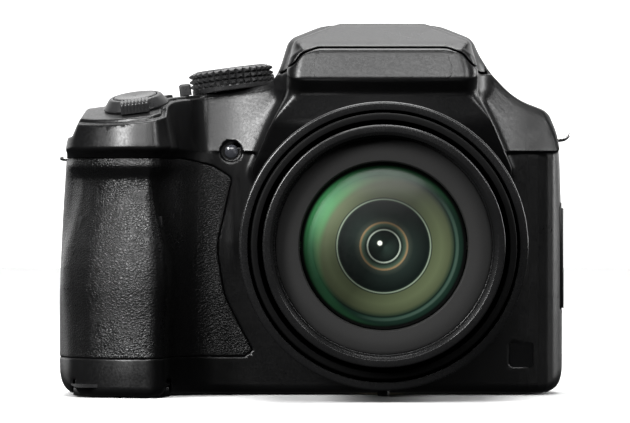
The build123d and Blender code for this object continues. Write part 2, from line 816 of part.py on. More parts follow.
def flash_cap():
    cap = (FORM & cap_zone(0)) - hump_cavity()
    for side in (-1, 1):
        a = side * FLASH_KNUCKLE_X
        b = side * (FLASH_EAR_X - SEAT_GAP)
        knuckle = rod_x(FLASH_EAR_R, min(a, b), max(a, b), FLASH_AXIS_Y, FLASH_AXIS_Z)
        knuckle += block(min(a, b), max(a, b), FLASH_AXIS_Y - FLASH_EAR_R, FLASH_AXIS_Y + FLASH_EAR_R,
                         FLASH_AXIS_Z, HUMP_TOP_Z - WALL / 2)
        cap += knuckle
    cap -= rod_x(FLASH_PIN_R + RUN_FIT, -30, 30, FLASH_AXIS_Y, FLASH_AXIS_Z)
    return cap - mic_slots()


def flash_pin():
    half = FLASH_EAR_X + FLASH_EAR_T
    return rod_x(FLASH_PIN_R, -half, half, FLASH_AXIS_Y, FLASH_AXIS_Z)


def flash_head():
    rear_y = FLASH_HEAD_Y
    front_y = rear_y - FLASH_HEAD_D
    half = FLASH_HEAD_W / 2
    roof = Pos(0, 0, -SEAT_GAP) * hump_cavity()
    head = block(-half, half, front_y, rear_y, FLASH_HEAD_Z, HUMP_TOP_Z) & roof
    mouth_z = FLASH_HEAD_Z + FLASH_MOUTH_UP
    wide = [(front_y - 1, mouth_z - 2.4), (front_y - 1, mouth_z + 2.4)]
    narrow = [(front_y + 4, mouth_z + 0.8), (front_y + 4, mouth_z - 0.8)]
    trough = prism_x(make_face(Polyline(*wide, *narrow, close=True)), -half + 1.5, half - 1.5)
    return head - trough


def flash_tube():
    half = FLASH_HEAD_W / 2 - 1.5
    tube_y = FLASH_HEAD_Y - FLASH_HEAD_D + 2.6
    return rod_x(FLASH_TUBE_R, -half, half, tube_y, FLASH_HEAD_Z + FLASH_MOUTH_UP)


def flash_window():
    front_y = FLASH_HEAD_Y - FLASH_HEAD_D
    return soft_slab_y(FLASH_HEAD_W - 1, 5.4, 0.8, front_y - 1.0, front_y, 0, FLASH_HEAD_Z + 2.9)


# Lens
def lens_shroud():
    tube = ring_y(SHROUD_R, SHROUD_BORE_R, SHROUD_NOSE_Y, FRONT_Y)
    flange = ring_y(SHROUD_R, SHROUD_HOLE_R, FRONT_Y - SHROUD_FLANGE_T, FRONT_Y)
    body = tube + flange
    for side in (-1, 1):
        body -= rod_y(ROD_R + 0.02, FRONT_Y - SHROUD_FLANGE_T - 1, FRONT_Y + 1, side * ROD_X)
    return body


def barrel(r, bore, nose_y, length, band_r):
    rear_y = nose_y + length
    return ring_y(r, bore, nose_y, rear_y) + ring_y(band_r - RUN_FIT, bore, rear_y - GUIDE_BAND, rear_y)


def zoom_barrel_outer():
    return barrel(
        OUTER_BARREL_R, OUTER_BARREL_BORE_R, OUTER_BARREL_NOSE_Y, OUTER_BARREL_LENGTH, SHROUD_BORE_R
    )


RING_SEAT_Y = INNER_BARREL_NOSE_Y + FILTER_DEPTH
WEB_Y = RING_SEAT_Y + SEAT_GAP + NAME_RING_T
LENS_RIM_T = 2.6
LENS_BACK_Y = WEB_Y + CELL_WALL + LENS_RIM_T


def zoom_barrel_inner():
    tube = barrel(
        INNER_BARREL_R, INNER_BARREL_BORE_R, INNER_BARREL_NOSE_Y, INNER_BARREL_LENGTH, OUTER_BARREL_BORE_R
    )
    tube += ring_y(INNER_BARREL_BORE_R + 0.5, FILTER_R, INNER_BARREL_NOSE_Y, RING_SEAT_Y)
    tube += ring_y(INNER_BARREL_BORE_R + 0.5, NAME_RING_R, RING_SEAT_Y, WEB_Y)
    cell_r = FRONT_LENS_R + CELL_WALL
    tube += ring_y(INNER_BARREL_BORE_R + 0.5, cell_r - CELL_WALL / 2, WEB_Y, WEB_Y + CELL_WALL)
    tube += ring_y(cell_r, FRONT_LENS_R + RUN_FIT, WEB_Y, LENS_BACK_Y)
    return tube + ring_y(cell_r, SECOND_LENS_R + RUN_FIT, LENS_BACK_Y, LENS_BACK_Y + SECOND_LENS_T + 1.0)


def name_ring():
    return ring_y(NAME_RING_R - RUN_FIT, FRONT_LENS_R + SEAT_GAP, WEB_Y - NAME_RING_T, WEB_Y)


def front_lens():
    return lens_y(FRONT_LENS_R, LENS_BACK_Y - FRONT_LENS_T, FRONT_LENS_T, FRONT_LENS_BULGE_R)


def second_lens():
    front_y = LENS_BACK_Y + RUN_FIT
    hollow = Pos(0, front_y + SECOND_LENS_T + 28.0, LENS_Z) * Sphere(29.0)
    return rod_y(SECOND_LENS_R, front_y, front_y + SECOND_LENS_T) - hollow


def carrier(y, lens_r, hub_t):
    body = ring_y(CARRIER_R, lens_r + RUN_FIT, y, y + CARRIER_T)
    body += ring_y(lens_r + HUB_WALL, lens_r + RUN_FIT, y, y + hub_t)
    for side in (-1, 1):
        body -= rod_y(ROD_R + RUN_FIT, y - 1, y + CARRIER_T + 1, side * ROD_X)
    return body


def variator_frame():
    return carrier(VARIATOR_Y, VARIATOR_LENS_R, VARIATOR_LENS_T + 1.0)


def variator_lens():
    return lens_y(VARIATOR_LENS_R, VARIATOR_Y + 0.3, VARIATOR_LENS_T, VARIATOR_BULGE_R)


def iris_unit():
    y = VARIATOR_Y + VARIATOR_LENS_T + 1.0
    blades = rod_y(VARIATOR_LENS_R + 1.0, y + IRIS_T * 0.4, y + IRIS_T * 0.6)
    blades -= prism_y(Pos(0, LENS_Z) * RegularPolygon(VARIATOR_LENS_R * 0.6, 6), y - 1, y + IRIS_T + 1)
    return ring_y(VARIATOR_LENS_R + IRIS_WALL, VARIATOR_LENS_R, y, y + IRIS_T) + blades


def focus_frame():
    return carrier(FOCUS_Y, FOCUS_LENS_R, FOCUS_LENS_T + 0.6)


def focus_lens():
    return lens_y(FOCUS_LENS_R, FOCUS_Y + 0.2, FOCUS_LENS_T, FOCUS_BULGE_R)


def guide_rod(side):
    return rod_y(ROD_R, FRONT_Y - ROD_LENGTH, FRONT_Y, side * ROD_X)


# Inside the body
CHASSIS_Y = FRONT_Y + WALL


def chassis():
    rear_y = CHASSIS_Y + CHASSIS_T
    plate = block(-CHASSIS_HALF, CHASSIS_HALF, CHASSIS_Y, rear_y, CHASSIS_LOW_Z, CHASSIS_TOP_Z)
    plate -= rod_y(SENSOR_W * 0.8, CHASSIS_Y - 1, rear_y + 1)
    for x in (2 * POST_R - CHASSIS_HALF, CHASSIS_HALF - 2 * POST_R):
        for z in POST_ZS:
            plate += rod_y(POST_R, rear_y - CHASSIS_T / 2, BOARD_Y, x, z)
    return plate


def image_sensor():
    y = CHASSIS_Y + CHASSIS_T
    half = SENSOR_BOARD_W / 2
    package_w = SENSOR_W / 2
    package_h = SENSOR_H / 2
    board_y = y + SENSOR_T + SEAT_GAP
    low_z = LENS_Z - package_h
    package = block(-package_w, package_w, y + SEAT_GAP, board_y + 0.1, low_z, LENS_Z + package_h)
    board = block(-half, half, board_y, board_y + BOARD_T, LENS_Z - half + 2, LENS_Z + half - 2)
    unit = package + board
    for x, z in [(-half + 3, LENS_Z - 8), (half - 3, LENS_Z - 8), (0, LENS_Z + 9.6)]:
        unit += rod_y(SENSOR_POST_R, y, board_y + BOARD_T / 2, x, z)
    return unit


def main_board():
    face_y = BOARD_Y + BOARD_T
    board = block(-BOARD_HALF, BOARD_HALF, BOARD_Y, face_y, BOARD_LOW_Z, BOARD_TOP_Z)
    for x, z, w, h in CHIPS:
        board += block(x - w / 2, x + w / 2, face_y, face_y + CHIP_T, z - h / 2, z + h / 2)
    return board


def zoom_motor():
    y = CHASSIS_Y + CHASSIS_T
    body = rod_y(MOTOR_R, y + GEAR_T, y + GEAR_T + MOTOR_LENGTH, MOTOR_X, MOTOR_Z)
    gears = soft_slab_y(14, 9, 2.0, y, y + GEAR_T, MOTOR_X - 3, MOTOR_Z + 1)
    return body + gears


def flash_capacitor():
    can = rod_z(CAPACITOR_R, WALL + SEAT_GAP, CAPACITOR_TOP_Z, CAPACITOR_X, CAPACITOR_Y)
    neck_r = CAPACITOR_R * 0.68
    return can + rod_z(neck_r, CAPACITOR_TOP_Z - 0.5, CAPACITOR_TOP_Z + 0.6, CAPACITOR_X, CAPACITOR_Y)


BOX_LEFT_X = BATTERY_X - BATTERY_W / 2 - SLIP_FIT - BOX_WALL
BOX_RIGHT_X = BATTERY_X + BATTERY_W / 2 + SLIP_FIT + BOX_WALL
BATTERY_FRONT_Y = BATTERY_REAR_Y - BATTERY_D
BOX_TOP_Z = BATTERY_LOW_Z + BATTERY_H + SEAT_GAP + BOX_WALL
FLANGE_T = 1.0
SLOT_WALL = 0.8
CARD_X = BATTERY_X + SLIP_FIT
CARD_Y = BATTERY_REAR_Y + SLIP_FIT + BOX_WALL + SEAT_GAP + SLOT_WALL + SLIP_FIT
CARD_LOW_Z = WALL + FLANGE_T + 0.5


def battery_box():
    outer = block(BOX_LEFT_X, BOX_RIGHT_X, BATTERY_FRONT_Y - SLIP_FIT - BOX_WALL,
                  BATTERY_REAR_Y + SLIP_FIT + BOX_WALL, WALL + 0.2, BOX_TOP_Z)
    flange_zone = block(-GRIP_SIDE, BOX_RIGHT_X + 6, GRIP_NOSE_Y, SPLIT_Y, WALL, WALL + FLANGE_T)
    flange = flange_zone & body_form(WALL + SEAT_GAP / 2)
    flange -= block(CARD_X - CARD_W / 2 - SLIP_FIT, DOOR_RIGHT_X + DOOR_GAP, BATTERY_REAR_Y + SLIP_FIT,
                    DOOR_REAR_Y + DOOR_GAP, 0, 8)
    inner = block(BOX_LEFT_X + BOX_WALL, BOX_RIGHT_X - BOX_WALL, BATTERY_FRONT_Y - SLIP_FIT,
                  BATTERY_REAR_Y + SLIP_FIT, 0, BOX_TOP_Z - BOX_WALL)
    return outer + flange - inner


def card_slot():
    half = CARD_W / 2 + SLIP_FIT
    top = CARD_LOW_Z + CARD_H + SEAT_GAP
    outer = block(CARD_X - half - SLOT_WALL, CARD_X + half + SLOT_WALL, CARD_Y - SLIP_FIT - SLOT_WALL,
                  CARD_Y + CARD_D + SLIP_FIT + SLOT_WALL, CARD_LOW_Z, top + SLOT_WALL)
    inner = block(CARD_X - half, CARD_X + half, CARD_Y - SLIP_FIT, CARD_Y + CARD_D + SLIP_FIT, 0, top)
    return outer - inner


def memory_card():
    half = CARD_W / 2
    body = block(CARD_X - half, CARD_X + half, CARD_Y, CARD_Y + CARD_D, CARD_LOW_Z, CARD_LOW_Z + CARD_H)
    return chamfer(body.edges().filter_by(Axis.Y).group_by(Axis.Z)[-1].sort_by(Axis.X)[-1:], 3.5)


def battery():
    half = BATTERY_W / 2
    body = block(BATTERY_X - half, BATTERY_X + half, BATTERY_FRONT_Y, BATTERY_REAR_Y,
                 BATTERY_LOW_Z, BATTERY_LOW_Z + BATTERY_H)
    return fillet(body.edges().filter_by(Axis.Z), 1.6)


# Doors
LATCH_X = BATTERY_X
LATCH_FRONT_Y = DOOR_FRONT_Y + 1.5
LATCH_T = 0.9


def battery_door():
    door = SHELL & door_zone(0)
    door -= block(DOOR_LEFT_X - 2, DOOR_RIGHT_X + 1, DOOR_AXIS_Y, DOOR_REAR_Y + 1, -1, WALL + 1)
    door += rod_x(WALL / 2, DOOR_LEFT_X + 3.0, DOOR_RIGHT_X - 0.2, DOOR_AXIS_Y, DOOR_AXIS_Z)
    door -= rod_x(DOOR_PIN_R + RUN_FIT, DOOR_LEFT_X - 5, DOOR_RIGHT_X + 5, DOOR_AXIS_Y, DOOR_AXIS_Z)
    half = LATCH_W / 2 + SLIP_FIT
    recess = block(LATCH_X - half, LATCH_X + half, LATCH_FRONT_Y - SLIP_FIT,
                   LATCH_FRONT_Y + LATCH_D + LATCH_TRAVEL + SLIP_FIT, -1, LATCH_T + 0.1)
    return door - recess


def door_latch():
    half = LATCH_W / 2
    plate = block(LATCH_X - half, LATCH_X + half, LATCH_FRONT_Y, LATCH_FRONT_Y + LATCH_D, 0.15, LATCH_T)
    for step in range(3):
        y = LATCH_FRONT_Y + 2.0 + step * 2.2
        plate += block(LATCH_X - half + 0.5, LATCH_X + half - 0.5, y, y + 0.8, -0.2, LATCH_T / 2)
    return plate


def door_pin():
    return rod_x(DOOR_PIN_R, DOOR_LEFT_X + 2.0, DOOR_RIGHT_X + 1.4, DOOR_AXIS_Y, DOOR_AXIS_Z)


def terminal_cover():
    cover = SHELL & cover_zone(0)
    low_z = COVER_LOW_Z - 1
    high_z = COVER_HIGH_Z + 1
    cover -= block(COVER_AXIS_X - WALL, COVER_AXIS_X + WALL, COVER_FRONT_Y - 1, COVER_AXIS_Y, low_z, high_z)
    cover += rod_z(WALL / 2, COVER_LOW_Z, COVER_HIGH_Z, COVER_AXIS_X, COVER_AXIS_Y)
    return cover + cover_trunnions(COVER_PIN_R, 1.4)


def io_port(z, h):
    rear_y = BOARD_Y - RUN_FIT
    mouth_x = FAR_SIDE - WALL - SEAT_GAP
    shell = block(mouth_x - PORT_DEPTH, mouth_x, rear_y - PORT_W, rear_y, z - h / 2, z + h / 2)
    well_w = PORT_W / 2 - PORT_WALL
    well_h = h / 2 - PORT_WALL
    middle_y = rear_y - PORT_W / 2
    well_x = mouth_x - PORT_DEPTH + 1.5
    return shell - block(well_x, FAR_SIDE, middle_y - well_w, middle_y + well_w, z - well_h, z + well_h)


# Rear face
def lcd_window():
    return soft_slab_y(SCREEN_W, SCREEN_H, SCREEN_CORNER_R, REAR_Y - SCREEN_T, REAR_Y, SCREEN_X, SCREEN_Z)


def lcd_module():
    rear_y = REAR_Y - WALL
    return soft_slab_y(SCREEN_W - 7, SCREEN_H - 5, 1.0, rear_y - PANEL_T, rear_y, SCREEN_X, SCREEN_Z)


def evf_unit():
    half_w = EVF_W / 2
    half_h = EVF_H / 2
    body = block(-half_w, half_w, EVF_FRONT_Y, REAR_Y - WALL - 1.0, EVF_Z - half_h, EVF_Z + half_h)
    return body - block(-5, 5, EVF_FRONT_Y + 3, REAR_Y, EVF_Z - 4, EVF_Z + 4)


def eyepiece_lens():
    slab = soft_slab_y(EYE_W, EYE_H, 2.0, REAR_Y - WALL - 1.0, REAR_Y + EYE_PROUD, 0, EVF_Z)
    dome = Pos(0, REAR_Y + EYE_PROUD - EYE_DOME_R, EVF_Z) * Sphere(EYE_DOME_R)
    return slab & dome


def eyecup():
    cup = soft_slab_y(EYECUP_W, EYECUP_H, 5.0, REAR_Y, REAR_Y + EYECUP_D, 0, EVF_Z)
    well_w = EYE_W + EYE_MARGIN
    well_h = EYE_H + EYE_MARGIN - 1
    well = soft_slab_y(well_w, well_h, 2.5, REAR_Y - 1, REAR_Y + EYECUP_D + 1, 0, EVF_Z)
    small = Pos(0, EVF_Z) * RectangleRounded(well_w, well_h, 2.5)
    large = Pos(0, EVF_Z) * RectangleRounded(EYECUP_W - 5, EYECUP_H - 4, 4.0)
    lead = loft([Plane.XZ.offset(-REAR_Y - 2) * small, Plane.XZ.offset(-REAR_Y - EYECUP_D - 0.5) * large])
    return cup - well - lead


def thumb_dial():
    wheel = rod(THUMB_DIAL_R, 0, THUMB_DIAL_T) - rod(THUMB_PIN_R + RUN_FIT, -1, THUMB_DIAL_T + 1)
    notch = Pos(THUMB_DIAL_R, 0, THUMB_DIAL_T / 2) * Rot(0, 0, 45) * Box(0.6, 0.6, THUMB_DIAL_T + 1)
    for step in range(THUMB_DIAL_NOTCHES):
        wheel -= Rot(0, 0, step * 360 / THUMB_DIAL_NOTCHES) * notch
    return Pos(THUMB_DIAL_X, THUMB_DIAL_Y, THUMB_DIAL_LOW_Z) * wheel


def diopter_dial():
    x0 = DIOPTER_X - DIOPTER_T / 2
    wheel = rod_x(DIOPTER_R, x0, x0 + DIOPTER_T, DIOPTER_Y, DIOPTER_Z)
    x1 = x0 + DIOPTER_T
    return wheel + rod_x(DIOPTER_PIN_R, x0 - DIOPTER_EAR_T, x1 + DIOPTER_EAR_T, DIOPTER_Y, DIOPTER_Z)


# Top controls
def mode_dial():
    base = rod(DIAL_R - 0.4, SLIP_FIT, DIAL_BASE_H)
    drum = rod(DIAL_R, DIAL_BASE_H, DIAL_BASE_H + DIAL_H)
    notch = Pos(DIAL_R, 0, DIAL_BASE_H + DIAL_H / 2) * Rot(0, 0, 45) * Box(KNURL_W, KNURL_W, DIAL_H + 1)
    for step in range(DIAL_KNURLS):
        drum -= Rot(0, 0, step * 360 / DIAL_KNURLS) * notch
    top = DIAL_BASE_H + DIAL_H
    cap = rod(DIAL_CAP_R, top - 0.5, top + 0.3)
    spindle = rod(SPINDLE_R, -WALL - 1.0, DIAL_BASE_H)
    return DIAL_PLACE * (base + drum + cap + spindle)


def zoom_lever():
    low = SLIP_FIT
    upright = (Align.CENTER, Align.CENTER, Align.MIN)
    cone = Pos(0, 0, low) * Cone(LEVER_BASE_R, LEVER_TOP_R, LEVER_H - low, align=upright)
    tab_y = -LEVER_BASE_R - TAB_OUT
    tab = block(-TAB_W / 2, TAB_W / 2, tab_y, -LEVER_TOP_R + 0.5, low, LEVER_H - 0.2)
    pitch = TAB_W / TAB_GROOVES
    for step in range(TAB_GROOVES):
        x = (step + 0.5) * pitch - TAB_W / 2
        tab -= block(x - 0.2, x + 0.2, tab_y - 1, tab_y + 0.4, low - 1, LEVER_H + 1)
    return LEVER_PLACE * (cone + tab - rod(SHUTTER_R + SLIP_FIT, -1, LEVER_H + 1))


def shutter_button():
    low = SLIP_FIT + 1.7
    cap = rod(SHUTTER_R, low, LEVER_H + SHUTTER_H)
    dish = Pos(0, 0, LEVER_H + SHUTTER_H + 29.6) * Sphere(30.0)
    stem = rod(STEM_R, -WALL - 2.0, low + 0.5) + rod(STEM_R + 1.0, -WALL - 2.0, -WALL - 1.0)
    return LEVER_PLACE * (cap - dish + stem)


def power_switch():
    low = SLIP_FIT
    cap = block(-SWITCH_W / 2, SWITCH_W / 2, -SWITCH_D / 2, SWITCH_D / 2, low, SWITCH_H)
    cap = fillet(cap.edges().group_by(Axis.Z)[-1], 0.5)
    half_w = SWITCH_STEM_W / 2
    stem = block(-half_w, half_w, -SWITCH_STEM_D / 2, SWITCH_STEM_D / 2, -WALL - 1.5, low + 0.5)
    return SWITCH_PLACE * (cap + stem)


def flash_button():
    cap = rod(FLASH_KEY_R, -WALL - 1.5, 3.4) + rod(FLASH_KEY_R + KEY_FLANGE, -WALL - 1.5, -WALL - 0.6)
    return FLASH_KEY_PLACE * cap


# Small fittings
def tripod_socket():
    return rod_z(SOCKET_R, 0, SOCKET_H, 0, 0) - rod_z(THREAD_R, -1, THREAD_DEPTH, 0, 0)


def feet():
    pads = [rod_z(FOOT_R, -FOOT_H, 0, x, y) for x, y in FOOT_SPOTS]
    post = rod_z(BARREL_FOOT_R, -FOOT_H, LENS_Z - SHROUD_R + BARREL_FOOT_R, 0, BARREL_FOOT_Y)
    return pads + [post - rod_y(SHROUD_R, BARREL_FOOT_Y - 5, BARREL_FOOT_Y + 5)]


def screws():
    heads = []
    for x, y in SCREW_SPOTS:
        head = rod_z(SCREW_R, 0.1, SCREW_T, x, y)
        slot = Pos(x, y, 0.2) * (Box(1.4, 0.35, 0.6) + Box(0.35, 1.4, 0.6))
        heads.append(head - slot)
    return heads


def af_lamp():
    face_y = FRONT_Y + LAMP_RECESS_DEPTH
    lens = rod_y(LAMP_R, face_y - 0.8, face_y, LAMP_X, LAMP_Z)
    return lens & (Pos(LAMP_X, face_y - 0.8 + 3.0, LAMP_Z) * Sphere(3.0))


def main():
    save("front_case", front_case())
    save("rear_case", rear_case())
    save("top_case", top_case())
    save("front_plate", PLATE)
    save("grip_skin", grip_skin())
    save("flash_cap", flash_cap())
    save("flash_pin", flash_pin())
    save("flash_reflector", flash_head(), flash_tube())
    save("flash_window", flash_window())
    save("lens_shroud", lens_shroud())
    save("zoom_barrel_outer", zoom_barrel_outer())
    save("zoom_barrel_inner", zoom_barrel_inner())
    save("name_ring", name_ring())
    save("front_lens", front_lens(), second_lens())
    save("variator_frame", variator_frame())
    save("variator_lens", variator_lens())
    save("iris_unit", iris_unit())
    save("focus_frame", focus_frame())
    save("focus_lens", focus_lens())
    save("guide_rods", guide_rod(-1), guide_rod(1))
    save("chassis", chassis())
    save("image_sensor", image_sensor())
    save("main_board", main_board())
    save("zoom_motor", zoom_motor())
    save("flash_capacitor", flash_capacitor())
    save("battery_box", battery_box())
    save("battery", battery())
    save("card_slot", card_slot())
    save("memory_card", memory_card())
    save("battery_door", battery_door())
    save("door_latch", door_latch())
    save("door_pin", door_pin())
    save("terminal_cover", terminal_cover())
    save("io_ports", *[io_port(z, h) for z, h in PORTS])
    save("lcd_window", lcd_window())
    save("lcd_module", lcd_module())
    save("evf_unit", evf_unit())
    save("eyepiece_lens", eyepiece_lens())
    save("eyecup", eyecup())
    save("thumb_dial", thumb_dial())
    save("diopter_dial", diopter_dial())
    save("mode_dial", mode_dial())
    save("zoom_lever", zoom_lever())
    save("shutter_button", shutter_button())
    save("power_switch", power_switch())
    save("flash_button", flash_button())
    save("movie_button", key(MOVIE_KEY, KEY_R))
    save("burst_button", key(BURST_KEY, KEY_R))
    save("ae_lock_button", key(AE_KEY, KEY_R))
    save("evf_button", key(EVF_KEY, KEY_R * 0.9))
    save("play_button", key(PLAY_KEY, KEY_R))
    save("delete_button", key(DELETE_KEY, KEY_R))
    save("cursor_pad", key(PAD_KEY, PAD_R, bore=SET_R + SLIP_FIT))
    save("set_button", key(PAD_KEY, SET_R, rise=KEY_RISE + 0.2, layer=1))
    save("tripod_socket", tripod_socket())
    save("feet", *feet())
    save("base_screws", *screws())
    save("strap_lugs", lug(LEFT_LUG_Z, -1), lug(RIGHT_LUG_Z, 1))
    save("af_lamp", af_lamp())
    save("badge_plate", badge())


main()
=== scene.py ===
import itertools
import json
import math

import bmesh
import bpy
import numpy as np
import openvdb
from mathutils import Matrix, Vector


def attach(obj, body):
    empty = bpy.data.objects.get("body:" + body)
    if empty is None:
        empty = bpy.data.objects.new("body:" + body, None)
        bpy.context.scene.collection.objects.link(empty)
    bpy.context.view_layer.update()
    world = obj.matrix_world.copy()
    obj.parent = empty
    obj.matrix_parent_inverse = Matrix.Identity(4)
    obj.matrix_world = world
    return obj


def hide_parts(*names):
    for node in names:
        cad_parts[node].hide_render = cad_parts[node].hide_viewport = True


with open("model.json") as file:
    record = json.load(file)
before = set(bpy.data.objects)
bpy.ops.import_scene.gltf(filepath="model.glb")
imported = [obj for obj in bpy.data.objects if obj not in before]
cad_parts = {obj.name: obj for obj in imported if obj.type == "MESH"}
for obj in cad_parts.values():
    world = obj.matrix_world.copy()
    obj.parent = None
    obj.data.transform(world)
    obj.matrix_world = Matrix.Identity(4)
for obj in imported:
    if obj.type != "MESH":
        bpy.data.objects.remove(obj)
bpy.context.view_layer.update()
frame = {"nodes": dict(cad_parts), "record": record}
nodes = frame["nodes"]
body_of = {node: body for body, group in frame["record"]["behaviour"]["bodies"].items() for node in group}
slot_of = {row["node"]: row["material_slot"] for row in frame["record"]["subparts"]}
MM = 0.001
scene = bpy.context.scene

# Sizes in millimetres, as in the CAD
LENS_Z = 38.5
FRONT_Y = -14.0
REAR_Y = 24.0
SPLIT_Y = 8.0
SEAM_Z = 67.2
FRONT_SEAM_Z = 62.3
SHELF_Z = 62.5
WALL = 2.0
SHROUD_R = 36.0

# Spacing of the grids, how freely flat faces merge, and segments round the lens
STEP = 0.42
FINE = 0.3
SKIN_STEP = 0.36
MERGE = 0.004
TURNS = 256

# Outlines: corner points, then the radius of each corner
FRONT = (
    [(-84.5, 0), (-84.5, 26), (-81.3, 62.5), (-79.5, 73.27), (-27.3, 80.06), (28.3, 78.86), (36.2, 75.8),
     (43.5, 73), (47.1, 64), (48.7, 36), (48.7, 0)],
    [7, 40, 20, 4, 8, 8, 12, 5, 30, 60, 7],
)
PLAN = (
    [(-83.5, 24), (-83.5, -29.5), (-75.8, -39.4), (-66.6, -44.4), (-57.7, -45.7), (-53.4, -41.5),
     (-52.5, -22), (-47, -14), (47.7, -14), (47.7, 24)],
    [8, 14, 23, 23, 5, 5, 8, 9, 12, 8],
)
# How far the grip's front is drawn in, by height
GRIP_HEIGHTS = [-5, 6, 11, 20, 28, 33, 38, 42, 46, 50, 53, 55.5, 57.3, 58.6, 60.9, 61.2, 62.8, 90]
GRIP_INSETS = [2.2, 2.0, 2.2, 1.9, 1.3, 1.4, 2.1, 3.1, 4.1, 5.0, 5.5, 5.5, 4.2, 3.1, 3.5, 3.4, 0, 0]
HUMP_FRONT = ([(10.5, 95.4), (22.5, 90.6), (24.3, 83), (24.3, 77), (28.7, 68.5), (33.5, 57.5), (30.5, 50.5)],
              [3, 2.5, 10, 5, 12, 3, 0.5])
HUMP_REAR = ([(10.5, 95.4), (22.5, 90.6), (24.6, 85), (25.4, 80), (25.4, 60.5)], [3, 2.5, 6, 6, 1])
ROOF = ([(30, -10), (30, 83.9), (10, 92.8), (-8, 95.4), (-60, 95.4), (-60, -10)], [1, 1, 10, 20, 1, 1])
HUMP_SIDE_VIEW = (
    [(24, 50.5), (24, 86.6), (10, 92.8), (-8, 95.4), (-36, 95.4), (-46.5, 90.1), (-49.8, 88.1), (-52, 80.5),
     (-47.5, 77.2), (-46.5, 70), (-40, 60.5), (-30, 50.5)],
    [0.5, 3, 10, 20, 4, 3, 2.2, 1.2, 2.2, 6, 8, 0.5],
)
CAP_SEAM = ([(16.5, 88.7), (20.6, 87.1), (22.6, 84.4), (25.8, 83), (60, 83), (60, 130)], [6, 4, 3, 3, 1, 1])
PLATE = ([(16.6, 87.8), (19, 80.4)], [2, 2.5])
SKIN = (
    [(-95, 60.8), (-51.4, 60.8), (-43.6, 59), (-38.6, 55.8), (-42.6, 38), (-40.6, 25), (-33.2, 11.2),
     (-35.4, 9.6), (-95, 9.6)],
    [1, 6, 5, 1.6, 16, 20, 0.8, 1.2, 1],
)
DECK_NORMAL = np.array([-0.1289, 0.0, 0.9917])
SHOULDER_LEAN = 0.35
SWEEP_START = 47.0
SWEEP_END = 24.0
SWEEP_R = 40.0
RIDGE_X = -38.4
RIDGE_HEIGHT = 0.55
GRIP_LEAN = 0.2
GRIP_LEAN_Z = 63.5
GRIP_BLEND = 14.0
GRIP_END_X = -49.0
GRIP_DECK_POINT = (-62.9, -28.0, 73.9)
GRIP_DECK_NORMAL = np.array([-0.1289, -0.1973, 0.9719])
GRIP_SLOPE = 0.203
DIAL_X = -38.5
DECK_Z = 78.6
DECK_SLOPE = 0.13
DECK_END_X = -27.3
CHAMFER_POINT = (-79.1, 0, 66.8)
CHAMFER_NORMAL = (0.914, 0, -0.407)
CHAMFER_Z = 66.2
RIM_INSET = 1.3
RIM_DROP = 1.0
CAVITY_TOP = 80.0
HAIR = 0.03
EDGE = 0.14
LAP = 1.2
LAP_SINK = 0.05
PLATE_DEPTH = 1.15
SKIN_DEPTH = 1.5
SKIN_BED = 0.8
SKIN_END_Y = 7.0

# The flash's hinge
HINGE_Y = -10.0
HINGE_Z = 91.6
HINGE = (0, HINGE_Y, HINGE_Z)
EAR_R = 1.5
CURL_R = 3.8

# Places of keys and wheels: on the decks x, y, radius and rise, on the back x, z and radius
KEY_GAP = 0.2
DECK_KEYS = {"movie_button": (-57.0, -8.0, 3.0, 1.0), "burst_button": (-67.5, -5.0, 3.0, 1.0),
             "flash_button": (-29.9, 12.0, 2.4, 3.4)}
HIGH_KEYS = {"ae_lock_button": (-45.0, 71.4, 3.0), "evf_button": (-21.5, 72.0, 2.7)}
LOW_KEYS = {"play_button": (-44.0, 51.0, 3.0), "delete_button": (-44.0, 13.0, 3.0)}
PAD_X = -58.0
PAD_Z = 32.0
THUMB_X = -60.0
THUMB_Y = 16.5
DIOPTER_Y = 20.9
DIOPTER_Z = 72.6
LAMP = (-38.8, 0, 62.7)
SCREWS = ((-40, -7), (-40, 17), (-8, 17), (32, -7), (32, 17))
AHEAD = (0, 1, 0)
UP = (0, 0, 1)
QUARTER = math.pi / 2

# Box openings: the part of the grid, the box taken out, its corner radius and the rounding of its edge
BATTERY_OPENING = ((-80.5, -33.5, -2), (-53.2, 8.5, 4.1), (-79.2, -32.2, -5), (-54.4, 7.6, 4), 0, 0.25)
SOCKET_OPENING = ((44, -8, 20), (51, 8.5, 50), (45.6, -6.2, 21.8), (60, 7.2, 48.2), 0, 0.25)
BADGE_OPENING = ((32, -15, 5), (41, -12, 15), (33.3, -20, 6.8), (39.7, -13.5, 13.2), 0.7, 0.2)
STRAP_SLOT_GRIP = ((-86, -5, 57), (-78, 10, 64), (-90, -2.9, 59.8), (-79, 7.9, 61.4), 0, 0.15)
STRAP_SLOT_SKIN = ((-86, -5, 57), (-78, 10, 62.4), (-90, -2.9, 59.8), (-79, 7.9, 61.4), 0, 0.1)
STRAP_SLOT_FAR = ((40, -4, 60), (50, 10, 70), (44, -3, 64.9), (52, 8, 66.5), 0, 0.15)


def mirrored(shape):
    points, radii = shape
    return points + [(-x, z) for x, z in reversed(points)], radii + radii[::-1]


